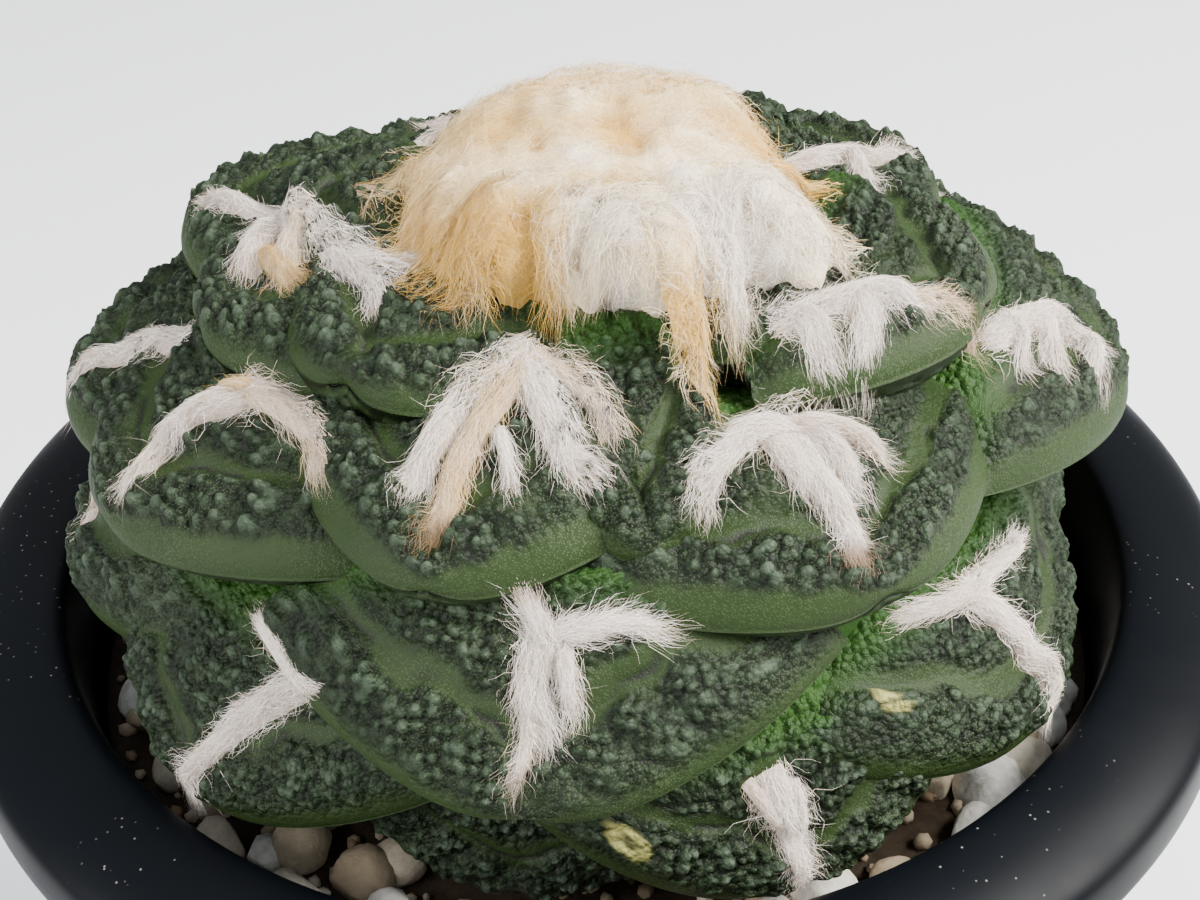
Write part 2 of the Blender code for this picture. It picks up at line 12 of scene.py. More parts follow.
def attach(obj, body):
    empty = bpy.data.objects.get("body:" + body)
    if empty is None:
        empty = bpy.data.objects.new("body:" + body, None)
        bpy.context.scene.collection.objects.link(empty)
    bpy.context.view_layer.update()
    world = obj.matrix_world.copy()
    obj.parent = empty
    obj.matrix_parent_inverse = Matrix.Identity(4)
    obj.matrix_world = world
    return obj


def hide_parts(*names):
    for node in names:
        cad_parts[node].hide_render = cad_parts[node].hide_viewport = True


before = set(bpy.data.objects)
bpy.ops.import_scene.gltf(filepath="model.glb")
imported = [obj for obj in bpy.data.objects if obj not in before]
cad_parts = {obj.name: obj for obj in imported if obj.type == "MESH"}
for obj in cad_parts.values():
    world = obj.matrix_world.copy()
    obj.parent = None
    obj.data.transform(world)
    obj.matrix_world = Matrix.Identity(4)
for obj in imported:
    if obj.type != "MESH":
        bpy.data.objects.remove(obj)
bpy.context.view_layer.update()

# Lengths are millimetres, and heights are taken from the plane of the pot's inner lip edge, as in part.py.
METRE = 0.001
POT_HEIGHT = 112.0
LIP_PLANE = (0.0, 0.0, POT_HEIGHT)

# Pot, as in part.py
LIP_OUTER_RADIUS = 67.5
LIP_INNER_RADIUS = 55.4
WALL = 2.2
FOOT_RADIUS = 46.0
FLOOR = 3.5
DRAIN_HOLES = 6
DRAIN_RADIUS = 4.0
DRAIN_RING = 31.0
DRAIN_SIDES = 40
POT_SIDES = 288
SHARP_EDGE = 35.0

# The lip's corners, as distance past its outer radius and height
LIP = (
    (-2.0, -5.9), (-1.6, -8.5), (0.0, -8.5), (0.05, -4.0), (-0.5, -2.25),
    (-3.2, -0.7), (-6.5, 0.3), (-9.5, 0.6), (-11.3, 0.3), (-12.1, -0.8),
)

# Soil and stones, as in part.py
SOIL_TOP = -14.0
STONES = 80
STONE_RING_INNER = 36.0
STONE_RING_OUTER = 51.5
STONE_SMALLEST = 2.1
STONE_LARGEST = 4.4
STONE_SEED = 27
STONE_SINK = 0.35
STONE_REACH = 1.15
CLEAR = 0.4
STONE_FLATS = 9
SOIL_SIDES = 180
GRIT = 900
GRIT_FLATS = 3

# The plant, as in part.py
CORE = (
    (10, 40), (20, 38), (28, 34.5), (35.5, 28), (40.5, 19),
    (43.5, 8), (43, -1), (38.5, -8), (31, -13), (27, -20),
)
CORE_TOP = 40.5
CORE_SIDES = 96
SPIRAL_START = 55.0
GOLDEN_ANGLE = 137.5
STAGES = (
    (-10, 43, -9.5, 12, 13, 21),
    (-5, 49, -7.5, 24, 14, 23),
    (-2, 52.5, -3, 34, 18, 26),
    (0, 53.5, -2, 40, 17, 26),
    (3, 54, 9, 46, 19, 27),
    (6, 53, 20, 64, 18.5, 24),
    (9, 51, 22.5, 68, 17, 23),
    (11, 47, 27, 71, 20, 20),
    (13, 43, 34, 82, 16, 20),
    (16, 41, 35.5, 85, 18, 18),
    (18, 38, 37, 86, 15, 17),
    (23, 27, 40, 88, 10, 12),
)
NUDGES = {
    -2: (-16, 0, 0, 0, 0),
    -1: (0, -1.5, -1, -1, 0),
    0: (0, -0.8, -1, 0, 0),
    3: (-9, 0, 0, 0, 0),
    5: (0, 2, 1.5, 0, 0),
    6: (-12, -1, 1, 0, 0),
    8: (-3, -2, 1, 2, 0),
    9: (14, 2, -2, 0, 0),
    13: (-2, -1, 2.5, 0, 0),
    14: (-2, -3, 0, 0, 0),
    16: (-8, 1.5, -8, -10, -22),
    17: (16, 3, -1, 0, 0),
    18: (7, 0, 0, 0, 0),
}
NO_NUDGE = (0.0, 0.0, 0.0, 0.0, 0.0)
LEAN = 0.13
ROOT_LENGTH = 20.0
FACE_HEIGHT = 3.0
BODY_DEPTH = 13.0
EDGE_BULGE = 3.0
TIP_ROUNDING = 2.2
TIP_ROUNDING_POWER = 4
ACROSS_RADIUS = 44.0
TIP_BEND_RADIUS = 80.0
ROOT_BEND_RADIUS = 13.0
EDGE_POWER = 7
KEEL_POWER = 2.5
KEEL_ROUNDING = 0.7
SIDE_FURROW = 1.0
SIDE_FURROW_AT = 0.56
SIDE_FURROW_WIDTH = 0.1
MIDDLE_FURROW = 0.9
MIDDLE_FURROW_WIDTH = 0.16

# Wool, as in part.py
TUFTS = (*range(-5, 16), 17, 18)
TUFT_SIZE_LENGTH = 19.0
COMMON_LOOK = (0.1, 0.15)
COMMON_ARMS = ((0.0, 14.0), (108.0, 9.5), (-108.0, 9.5))
CROWN_X = 2.0
CROWN_Y = -2.0
CROWN_TOP = 51.2
CROWN_RADIUS = 21.0
CROWN_FALL = 12.7
CROWN_FLATNESS = 3.0
CROWN_ARMS = ((-24.0, 5.0, 14.0), (8.0, 9.5, 16.0), (42.0, 12.0, 14.0))
CROWN_LOBES = (
    (-9, -19, 2.6, 5.5),
    (6, -22, 3, 6),
    (19, -17, 2.6, 6.5),
    (-12, -4, 1.4, 6),
    (-4, 8, 0.4, 7),
    (14, 5, 1.9, 6),
)

# Fine meshes
FACE_START = -0.42
FACE_END = 0.86
FACE_SEED = 40
UNDER_RINGS = (0.97, 0.9, 0.78, 0.55, 0.2)
BODY_PIECES = (range(-10, 0), range(8), range(8, 14), range(14, 24))
FINE_STEP = 0.017
MIDDLE_STEP = 0.025
COARSE_STEP = 0.031
FRONT_TURN = 76.0
SIDE_TURN = 118.0
YOUNGEST_FINE = 16
OLDEST_FINE = -5
WART_ROW = 1.4
WART_SPACING = 1.25
WART_HEIGHT = 0.95
WART_ROUNDING = 0.75
RIB_PITCH = 3.1
RIB_HEIGHT = 0.45
WIDE_RIMS = (5, 6, 8, 9, 10, 11, 13)
WIDE_RIM = 0.92
NARROW_RIM = 0.985
WAVE_HEIGHT = 0.22
CREASE_AT = 0.6
CREASE_WIDTH = 0.016
CREASE_DEPTH = 0.3
LUMP_PITCH = 0.3
LUMP_HEIGHT = 0.6

# Locks of wool on a face: gold, brown end, half widths at both ends, and a path of places across and
# towards the tip
LOCKS = {
    -5: (
        (0, 0, 2.3, 1, -2.8, 0, -1.6, 6.6, -0.7, 12.8),
        (0.2, 0, 1, 0.7, -4.9, 0.2, -2.5, 5.8),
        (0, 0, 1, 0.7, -0.6, 1.5, -0.8, 7.4),
    ),
    -2: (
        (0.05, 0.2, 2, 0.8, 10.5, -1, 7, -3, 3.9, -3.8),
        (0, 0.1, 1.8, 0.8, 10.5, -1.5, 15.5, -2.6, 18, -2),
        (0, 0, 2.1, 1.2, 11.3, -2, 5.5, 5.4, 1, 12.9, -0.7, 16.2),
    ),
    3: (
        (0, 0.2, 2.2, 0.8, 1.8, 3, -0.4, -1.6),
        (0, 0.1, 1.7, 0.8, 2, 1.8, 6.7, 0.3, 11, 0.6),
        (0, 0.05, 2.3, 1.6, 1, 1.5, 0.2, 6.3, 1.2, 9.8),
        (0.05, 0.1, 1.3, 0.8, 2.8, 2.2, 3.6, 7.6),
        (0.1, 0.6, 1.3, 0.5, 0.4, 7.1, -0.1, 10.8, -0.6, 14.2),
    ),
    0: (
        (0.05, 0.2, 1.6, 0.6, -3, -0.6, -6.5, -1.9, -11, -3.5),
        (0, 0.1, 1.8, 0.6, -3, -0.6, 2.1, -0.6, 8, 0.3),
        (0, 0.1, 2.4, 1.1, -2.8, -0.6, -0.3, 5.6, 1.4, 11.2, 0.8, 15.8),
    ),
    6: (
        (0.1, 0, 2.2, 1.2, 5, -1.2, 1.6, 4.1, 1.3, 8.2, 2.5, 13.6),
        (0.3, 0.15, 2, 1.2, 4, -1, 9, -3, 12.9, -3.3, 16.8, -1.5),
        (0.75, 0, 1.6, 1.2, 5, -2, 2.2, 1.2),
    ),
    11: (
        (0.1, 0, 2.2, 1.2, 3.2, -4.5, -0.8, 1.5, -2.8, 7.5, -3, 9.5),
        (0.62, 0.95, 2.2, 0.8, 3.6, -3.8, 1.2, 2.9, 0.1, 8.6, -0.2, 14.6),
        (0, 0.1, 2.8, 1.2, 3.6, -4, 6.5, 0.8, 9, 4.6, 11.2, 5.8),
        (0.35, 0.3, 1.8, 0.6, 4.5, -4.2, 9.5, -1.6, 12.2, 1.4),
        (0, 0.2, 0.9, 0.5, 3, 4, 5.2, 8),
    ),
    8: (
        (0, 0.1, 2.2, 1.2, 0.5, -1, -4.7, -2, -9, -0.5, -11.5, 2),
        (0.2, 0.1, 1.8, 0.9, -0.5, -1.4, 2.8, 1, 6.6, 4.6),
        (0.1, 0.2, 2.2, 1.2, -2.6, -0.8, -2.6, 2.6, -2.2, 5.6),
        (0.05, 0.1, 2, 1.2, 1, -0.4, 1.4, 3, 1.2, 6.6),
        (0, 0.9, 2.4, 1.1, -0.2, -0.5, -1.1, 4.6, -0.9, 9.1, -1.8, 12.2),
    ),
    5: (
        (0, 0.1, 2, 1.2, -12, -3, -5.2, 3.2, -3.8, 11.5),
        (0, 0.1, 1.8, 1.2, -9, -2.3, -12.2, 0.8),
        (0, 0.1, 2, 1.2, -6, 2.6, -10.6, 4.8),
        (0, 0.1, 1.8, 1, -3.8, 8.1, -8, 9.6),
    ),
    9: ((0, 0, 2, 0.9, 7.6, -1, 3.8, 7, 3.2, 13.8),),
    14: (
        (0.05, 0.1, 2.4, 1.6, -6.6, 1.1, -6.4, 5.9, -2.1, 9.2),
        (0.05, 0, 2.6, 1.6, -5, 3, 3.5, 0.2, 8, -3, 8.5, -6.6),
        (0, 0.1, 2, 1, 2.8, 1, 7.4, -0.6, 13, -0.5),
        (0.35, 0.3, 2.2, 1.4, -4.7, 3, 1, 6),
        (0.85, 0.5, 1.3, 1.2, -4, 7, 3.4, 5.6),
    ),
    17: ((0.05, 0, 2, 0.9, 9.3, -1.9, 5.3, 6.8, 3.5, 12),),
    13: (
        (0.05, 0, 2.2, 1.4, -14, -1, -7.7, 4.6, -5.9, 9.6),
        (0.5, 0.6, 1.2, 0.6, -6.2, 9, -3.2, 14.2),
        (0, 0.1, 2.2, 1.6, -12.6, -0.6, -14.6, 3.6),
        (0, 0.1, 2.2, 1.5, -8, 4, -12, 6.6),
    ),
    18: (
        (0.05, 0, 2, 0.9, -1.6, -2, -0.3, 7, 0, 11),
        (0, 0, 1.5, 0.8, -0.6, 4.8, -7, 4),
    ),
}

CROWN_FRONT = 8.0
CROWN_FRONT_CUT = 0.23
CROWN_FRONT_SPREAD = 42.0
CROWN_RAYS = 220
CROWN_RINGS = 52
# Eye-shaped scars: place on the face, angle from the tip's direction, half length, half width
SCARS = {
    -5: (-16.0, 3.0, 33.0, 2.4, 1.05),
    0: (-16.5, 1.4, 20.0, 1.5, 0.7),
}
# Places on the crown that are more or less golden, as (x, y, size, how much more)
CROWN_TINTS = (
    (-9, -15.5, 6, 0.6),
    (-8, -21.5, 6, 0.7),
    (3.5, -15, 3.4, 0.55),
    (8.6, -27, 2.7, 1.3),
    (9.3, -11.3, 2.8, -1),
    (0.9, -8.8, 2.6, -1),
    (2, -18.2, 2.6, -0.8),
    (-5, -12.5, 3.6, -0.8),
    (2.6, -23.2, 4.4, -1.1),
    (13, -22, 4.4, -1.1),
    (19.5, -18.5, 5, -1),
    (-17, -5, 5, 0.3),
    (21, -3, 5, 0.4),
)
# Locks that hang from the crown: half widths at both ends, and a path of x and distance towards the front
CROWN_LOCKS = (
    (4.6, 1.8, -7, 12, -8.4, 18, -9.2, 22.6),
    (3.4, 1.4, -11, 12, -12.4, 16, -13.6, 19),
    (4.2, 2.2, -0.5, 15, -1, 19.5, -2.2, 23.4),
    (4.4, 2.6, 5, 17, 4.2, 21, 3.2, 25.2),
    (2.6, 1.1, 7.5, 19, 8.4, 25, 9.1, 29.8),
    (4.6, 2.4, 12, 16, 12.6, 20.5, 13.6, 24.8),
    (4, 2.2, 15, 14, 18, 18, 20, 21.2),
    (3.4, 1.3, 17, 12, 20.5, 14.5, 25.5, 16.8),
    (3.6, 1.8, 17, 11, 21, 15.6, 23, 19),
    (3.4, 1.5, -12, 7, -15.5, 11, -18, 13.6),
    (3, 1.4, -14, 2, -18.5, 3.8),
    (3, 1.4, 18, 4, 22.5, 4.2),
)

# Hairs
STRAND_POINTS = 4
SEEN_STRANDS = 22
COMMON_STRANDS = 6
CROWN_LOCK_STRANDS = 22
HAIR_WIDTHS = (0.022, 0.048)
HAIR_GAP = 0.12
LOOSE_SHARE = 0.07
# How high, long and curly the hairs of a lock are
TUFT_HAIR = (0.7, 4.2, 0.3)
CROWN_HAIR = (1.0, 3.2, 0.85)
# Hairs all over the crown, for each of its two pieces: how many, how long and how high
CROWN_HAIRS = ((6500, 2.6, 1.0), (500, 5.0, 2.4))
CLEAR_REACH = 3.0
LOCK_WIDTH = 0.94
FELT_TOP = 1.4
FELT_EDGE = -0.6
FELT_ACROSS = 12
FELT_ALONG = 27
# Low felt tints paint shade on the felt under the hairs
FELT_TINT = 0.07
CROWN_FELT_TINT = 0.2
DARK_END = (0.78, 1.0)
CROWN_END = 0.1
TUFT_PIECES = ((0, 9), (9, 16), (16, 23))
WOOL_SEED = 9

# Light: name, place, size, watts and colour of each lamp
LIGHTS = (
    ("key_light", (0.55, -0.1, 0.62), 0.4, 31.0, (1.0, 0.98, 0.95)),
    ("fill_light", (-0.6, -0.4, 0.5), 0.5, 13.0, (1.0, 1.0, 1.0)),
)
LIGHT_TARGET = (0.0, 0.0, 0.12)
WORLD_LOW = 0.2
WORLD_HIGH = 1.38
WORLD_COLOUR = (0.9, 0.95, 1.0)
FLOOR_SIZE = 4.0

# Camera, worked out from the photo: the tilt, distance and turn that fit the rim and the tubercles
LENS = 66.0
CAMERA_TILT = 36.59
CAMERA_ROLL = -1.96
CAMERA_DISTANCE = 229.63
CAMERA_TARGET = (1.27, 0.0, 10.69)


# Numbers


def hashed(x, y, seed):
    """A repeatable number from 0 to 1 for each whole-number place."""
    value = np.sin(x * 127.1 + y * 311.7 + seed * 74.7) * 43758.5453
    return value - np.floor(value)


def ramp(value, start, end):
    """0 before start and 1 after end, which may be the smaller."""
    share = np.clip((value - start) / (end - start), 0.0, 1.0)
    return share * share * (3 - 2 * share)


def soft_noise(x, y, seed, size=1.0):
    """Smooth noise from -1 to 1."""
    left = np.floor(x / size)
    low = np.floor(y / size)
    along = ramp(x / size - left, 0.0, 1.0)
    up = ramp(y / size - low, 0.0, 1.0)
    bottom = hashed(left, low, seed) * (1 - along) + hashed(left + 1, low, seed) * along
    top = hashed(left, low + 1, seed) * (1 - along) + hashed(left + 1, low + 1, seed) * along
    return 2 * (bottom * (1 - up) + top * up) - 1


def bell(value, width):
    """1 where the value is 0, and falling off over this width."""
    return np.exp(-((value / width) ** 2))


def wrapped(angle, whole=360.0):
    """The same turn, from minus half to plus half of the whole."""
    return (angle + whole / 2) % whole - whole / 2


def unit(vectors):
    length = np.linalg.norm(vectors, axis=-1, keepdims=True)
    return vectors / np.maximum(length, 1e-9)


def around(azimuth, radius, height):
    """The place at this turn from the front, distance from the axis and height."""
    return np.array((radius * math.sin(azimuth), -radius * math.cos(azimuth), height))


# Meshes


def link(name, data):
    """A new object in the scene."""
    obj = bpy.data.objects.new(name, data)
    bpy.context.scene.collection.objects.link(obj)
    return obj


def fine_mesh(name, points, faces, material, **values):
    """A mesh from arrays, with named numbers for each point."""
    mesh = bpy.data.meshes.new(name)
    mesh.from_pydata(((points + LIP_PLANE) * METRE).tolist(), [], faces.tolist(), shade_flat=False)
    for key, numbers in values.items():
        layer = mesh.attributes.new(key, "FLOAT", "POINT")
        layer.data.foreach_set("value", np.asarray(numbers, np.float32))
    mesh.validate()
    mesh.materials.append(material)
    return link(name, mesh)


def show(obj, slot_name, *nodes):
    """Gives a piece its body and hides the CAD nodes that it stands for. slot_name is not used."""
    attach(obj, "root")
    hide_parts(*nodes)


class Parts:
    """Collects points, faces and numbers of many shapes for one mesh."""

    def __init__(self):
        self.points = np.empty((0, 3))
        self.faces = []
        self.values = {}

    def add(self, points, faces, **values):
        self.faces.append(faces + len(self.points))
        self.points = np.concatenate([self.points, points])
        for key, numbers in values.items():
            self.values.setdefault(key, []).append(np.broadcast_to(numbers, len(points)))

    def make(self, name, material):
        values = {key: np.concatenate(lists) for key, lists in self.values.items()}
        return fine_mesh(name, self.points, np.concatenate(self.faces), material, **values)


def quads(index, closed=False):
    """Four-cornered faces between the rows of a grid of point numbers."""
    if closed:
        index = np.concatenate([index, index[:, :1]], 1)
    faces = np.stack([index[:-1, :-1], index[1:, :-1], index[1:, 1:], index[:-1, 1:]], -1)
    return faces.reshape(-1, 4)


def turned(profile, sides):
    """Points and faces of a turned surface from a profile of radius and height."""
    radii, heights = np.asarray(profile, float).T
    turns = np.linspace(0.0, 2 * math.pi, sides, endpoint=False)
    x = np.multiply.outer(radii, np.sin(turns))
    y = np.multiply.outer(radii, -np.cos(turns))
    z = np.repeat(heights, sides).reshape(x.shape)
    index = np.arange(x.size).reshape(x.shape)
    return np.stack([x, y, z], -1).reshape(-1, 3), quads(index, closed=True)


def weld(obj, crease=None):
    """Joins points that coincide and, if asked, keeps edges sharp from this angle."""
    bm = bmesh.new()
    bm.from_mesh(obj.data)
    bmesh.ops.remove_doubles(bm, verts=bm.verts, dist=1e-6)
    bm.to_mesh(obj.data)
    bm.free()
    if crease:
        obj.data.set_sharp_from_angle(angle=math.radians(crease))


# Tubercles


def stage(number):
    """The row of STAGES at this number, read between its rows."""
    low, high = next(pair for pair in zip(STAGES, STAGES[1:]) if number <= pair[1][0])
    share = (number - low[0]) / (high[0] - low[0])
    return [start + (end - start) * share for start, end in zip(low, high)]


class Tubercle:
    """The frame of one tubercle. Its face is a kite, with u across and v towards the tip."""

    def __init__(self, number):
        turn, more_radius, more_height, more_width, more_slope = NUDGES.get(number, NO_NUDGE)
        _, radius, height, slope, self.length, width = stage(number)
        radius = radius + more_radius
        azimuth = math.radians(SPIRAL_START - GOLDEN_ANGLE * number + turn)
        slope = math.radians(slope + more_slope)
        out = around(azimuth, 1.0, 0.0)
        up = np.array((0.0, 0.0, 1.0))
        self.number = number
        self.seed = number + FACE_SEED
        self.width = width + more_width
        self.turn = abs(wrapped(math.degrees(azimuth)))
        self.across = np.array((math.cos(azimuth), math.sin(azimuth), 0.0))
        self.normal = out * math.cos(slope) + up * math.sin(slope)
        self.along = out * math.sin(slope) - up * math.cos(slope)
        lean = LEAN * max(0.0, out[1]) * radius
        tip = out * radius + up * (height + more_height - lean)
        bend = self.length**2 / (2 * TIP_BEND_RADIUS)
        self.origin = tip - self.along * self.length + self.normal * bend

    def step(self):
        """Step of the face's grid, finest where the photo's camera sees most."""
        if self.turn < FRONT_TURN and OLDEST_FINE <= self.number <= YOUNGEST_FINE:
            return FINE_STEP
        return MIDDLE_STEP if self.turn < SIDE_TURN else COARSE_STEP

    def place(self, u, v, height):
        """Points this high over the curved middle surface of the tubercle."""
        bend_radius = np.where(v > 0, TIP_BEND_RADIUS, ROOT_BEND_RADIUS)
        lift = height - u * u / (2 * ACROSS_RADIUS) - v * v / (2 * bend_radius)
        moved = np.multiply.outer(u, self.across) + np.multiply.outer(v, self.along)
        return self.origin + moved + np.multiply.outer(lift, self.normal)

    def spread(self, a, b):
        """The u and v of grid places. a = 1 and b = 1 are the edges that meet in the tip."""
        middle = (a + b) / 2
        reach = np.where(middle > 0, self.length, ROOT_LENGTH)
        size = math.hypot(self.length, self.width)
        push_a = EDGE_BULGE * (1 - b * b) * np.maximum(a, 0.0) ** 3 / size
        push_b = EDGE_BULGE * (1 - a * a) * np.maximum(b, 0.0) ** 3 / size
        u = self.width * (a - b) / 2 + self.length * (push_a - push_b)
        tip = (np.maximum(a, 0.0) * np.maximum(b, 0.0)) ** TIP_ROUNDING_POWER
        v = reach * middle + self.width * (push_a + push_b) - TIP_ROUNDING * tip
        return u, v

    def face_point(self, u, v, height):
        """Points this high over the face."""
        middle = v / np.where(v > 0, self.length, ROOT_LENGTH)
        side = u / self.width
        a = np.clip(middle + side, -1.0, 1.0)
        b = np.clip(middle - side, -1.0, 1.0)
        return self.place(u, v, face_height(a, b) + height)


def rounding(a, b):
    """The height of the face falls to nothing at its edges."""
    return np.sqrt(np.maximum(0.0, 1 - np.abs((a, b)) ** EDGE_POWER)).prod(axis=0)


def furrows(a, b):
    """Depths of the two side furrows and of the middle furrow."""
    side = bell(np.maximum(a, b) - SIDE_FURROW_AT, SIDE_FURROW_WIDTH)
    return SIDE_FURROW * side, MIDDLE_FURROW * bell(a - b, MIDDLE_FURROW_WIDTH)


def face_height(a, b):
    """Height of the face without its warts."""
    side, middle = furrows(a, b)
    return rounding(a, b) * (FACE_HEIGHT - side - middle)


def wart_field(u, v, seed):
    """How high each place is on a round wart. The warts stand in loose rows."""
    best = np.zeros_like(u)
    for below, beside in product((-1, 0, 1), repeat=2):
        line = np.floor(v / WART_ROW) + below
        shift = hashed(line, 7.0, seed) * WART_SPACING
        place = np.floor((u + shift) / WART_SPACING) + beside
        aside, ahead, more_size, more_height = (hashed(place, line, seed + more) for more in range(4))
        middle_u = (place + 0.5 + 0.5 * (aside - 0.5)) * WART_SPACING - shift
        middle_v = (line + 0.5 + 0.4 * (ahead - 0.5)) * WART_ROW
        away = ((u - middle_u) ** 2 + (v - middle_v) ** 2) / (0.48 + 0.42 * more_size) ** 2
        height = np.maximum(0.0, 1 - away) ** WART_ROUNDING * (0.4 + 0.6 * more_height)
        best = np.maximum(best, height)
    return best


def relief(tubercle, u, v, a, b):
    """Heights over the plain face, and how far each place is a wart, a crease and warty."""
    seed = tubercle.seed
    outer = np.maximum(a, b)
    near_edge = outer + 0.07 * soft_noise(u, v, seed + 9, 6.0) + 0.04 * soft_noise(u, v, seed + 4, 2.2)
    inner = ramp(near_edge, 0.56, 0.44)
    rim = WIDE_RIM if tubercle.number in WIDE_RIMS else NARROW_RIM
    rim_place = outer + 0.02 * soft_noise(u, v, seed + 2, 1.5)
    band = ramp(near_edge, CREASE_AT, CREASE_AT + 0.08) * ramp(rim_place, rim, rim - 0.08)
    root = ramp((a + b) / 2, -0.62, -0.25)
    bent = v + 0.10 * np.abs(u) + 0.5 * soft_noise(u, v, seed + 5, 4.0)
    warts = wart_field(u + 0.3 * soft_noise(u, v, seed, 2.0), bent, seed)
    rib = 0.5 + 0.5 * np.cos(2 * math.pi * bent / RIB_PITCH)
    rib = rib * (0.7 + 0.3 * soft_noise(u / 3.0, v / 5.0, seed + 6))
    along = np.where(a > b, b, a) + 0.05 * soft_noise(a * 5 + seed, b * 5, seed + 7)
    lump = np.sqrt(0.5 + 0.5 * np.cos(2 * math.pi * along / LUMP_PITCH + seed))
    patch = ramp(soft_noise(u, v, seed + 8, 5.0), -0.9, -0.3)
    bare = 1 - wool_cover(tubercle, u, v)
    mask = (inner * (0.7 + 0.3 * rib) + band * (0.65 + 0.35 * lump)) * root * (0.4 + 0.6 * patch) * bare
    height = WART_HEIGHT * warts * mask
    height = height + RIB_HEIGHT * rib * inner * root * bare + LUMP_HEIGHT * lump * band * root
    wavy = soft_noise(u, v, seed + 3, 3.0)
    height = height + WAVE_HEIGHT * wavy * root * rounding(a, b)
    crease = bell(near_edge - CREASE_AT, CREASE_WIDTH) * root * ramp(wavy, -0.1, 0.5)
    side, middle = furrows(a, b)
    filling = ramp(tubercle.number, 8, 2) * 0.5 + 0.15
    height = height - CREASE_DEPTH * crease + filling * side + 0.5 * middle * bare
    return height, {"wart": warts * mask, "crease": crease, "warty": mask}


def off_path(u, v, path):
    """How far places are from a path, and how far along it they are, from 0 to 1."""
    path = np.asarray(path, float)
    nearest = np.full(np.shape(u), 1e9)
    share = np.zeros(np.shape(u))
    for count, (start, end) in enumerate(zip(path, path[1:])):
        way = end - start
        part = np.clip(((u - start[0]) * way[0] + (v - start[1]) * way[1]) / (way @ way), 0.0, 1.0)
        away = np.hypot(u - start[0] - part * way[0], v - start[1] - part * way[1])
        closer = away < nearest
        nearest = np.where(closer, away, nearest)
        share = np.where(closer, (count + part) / (len(path) - 1), share)
    return nearest, share


def half_width(widths, share):
    """Half the width of a lock, this far along it."""
    return widths[0] + (widths[1] - widths[0]) * share


def common_locks(number):
    """Locks along the arms of a tuft that the photo doesn't show."""
    scale = TUBERCLES[number].length / TUFT_SIZE_LENGTH
    for direction, length in COMMON_ARMS:
        turn = math.radians(direction)
        end = (length * scale * math.sin(turn), length * scale * math.cos(turn))
        yield (*COMMON_LOOK, 2.4 * scale, 1.2 * scale, 0, 0, *end)


def locks_of(number):
    """Path, half widths, gold and brown end of each lock of a tuft."""
    if number not in TUFTS:
        return []
    rows = LOCKS.get(number) or common_locks(number)
    return [
        (np.reshape(path, (-1, 2)), (wide * LOCK_WIDTH, thin * LOCK_WIDTH), gold, end)
        for gold, end, wide, thin, *path in rows
    ]


def wool_cover(tubercle, u, v):
    """1 where a tuft covers the face and 0 where it doesn't."""
    cover = np.zeros(np.shape(u))
    for path, widths, _, _ in locks_of(tubercle.number):
        away, share = off_path(u, v, path)
        half = half_width(widths, share)
        cover = np.maximum(cover, ramp(away, half + 0.6, half * 0.6))
    return cover


def grid_values(step):
    """Grid places: wide where the tubercle is hidden, fine on its face and edge."""
    hidden = np.linspace(-1.0, FACE_START, 8, endpoint=False)
    face = np.arange(FACE_START, FACE_END, step)
    edge = 1 - (1 - FACE_END) * (1 - np.linspace(0.0, 1.0, 10)) ** 1.6
    return np.concatenate([hidden, face, edge])


def scar_mark(tubercle, u, v):
    """A pale ring round a darker middle where the face has an old scar."""
    if tubercle.number not in SCARS:
        return np.zeros(np.shape(u))
    middle_u, middle_v, angle, long, wide = SCARS[tubercle.number]
    turn = math.radians(angle)
    along = (u - middle_u) * math.sin(turn) + (v - middle_v) * math.cos(turn)
    aside = (u - middle_u) * math.cos(turn) - (v - middle_v) * math.sin(turn)
    away = np.hypot(along / long, aside / wide)
    return ramp(away, 1.15, 0.9) - 0.8 * ramp(away, 0.6, 0.35)


def underside(tubercle, a, b, loop, first):
    """Points and faces from the edge of the face down to the keel."""
    rings = []
    for share in UNDER_RINGS:
        u, v = tubercle.spread(a * share, b * share)
        keel = (1 - np.abs(a * share) ** KEEL_POWER) * (1 - np.abs(b * share) ** KEEL_POWER)
        rings.append(tubercle.place(u, v, -BODY_DEPTH * keel**KEEL_ROUNDING))
    points = np.concatenate(rings)
    index = first + np.arange(len(points)).reshape(len(rings), -1)
    return points, quads(np.concatenate([loop[None], index]), closed=True)


def add_tubercle(parts, tubercle):
    values = grid_values(tubercle.step())
    a, b = (grid.ravel() for grid in np.meshgrid(values, values, indexing="ij"))
    u, v = tubercle.spread(a, b)
    height, looks = relief(tubercle, u, v, a, b)
    points = tubercle.place(u, v, face_height(a, b) + height)
    index = np.arange(len(points)).reshape(len(values), -1)
    loop = np.concatenate([index[:-1, 0], index[-1, :-1], index[:0:-1, -1], index[0, :0:-1]])
    below, more = underside(tubercle, a[loop], b[loop], loop, len(points))
    looks["root"] = ramp((a + b) / 2, 0.02, -0.3)
    looks["edge"] = ramp(np.maximum(a, b), FACE_END, 0.99)
    looks["under"] = np.zeros(len(points))
    looks["scar"] = scar_mark(tubercle, u, v)
    for key, shares in looks.items():
        filler = 1.0 if key in ("under", "edge") else 0.0
        looks[key] = np.pad(shares, (0, len(below)), constant_values=filler)
    faces = np.concatenate([quads(index)[:, (0, 3, 2, 1)], more])
    parts.add(np.concatenate([points, below]), faces, **looks)


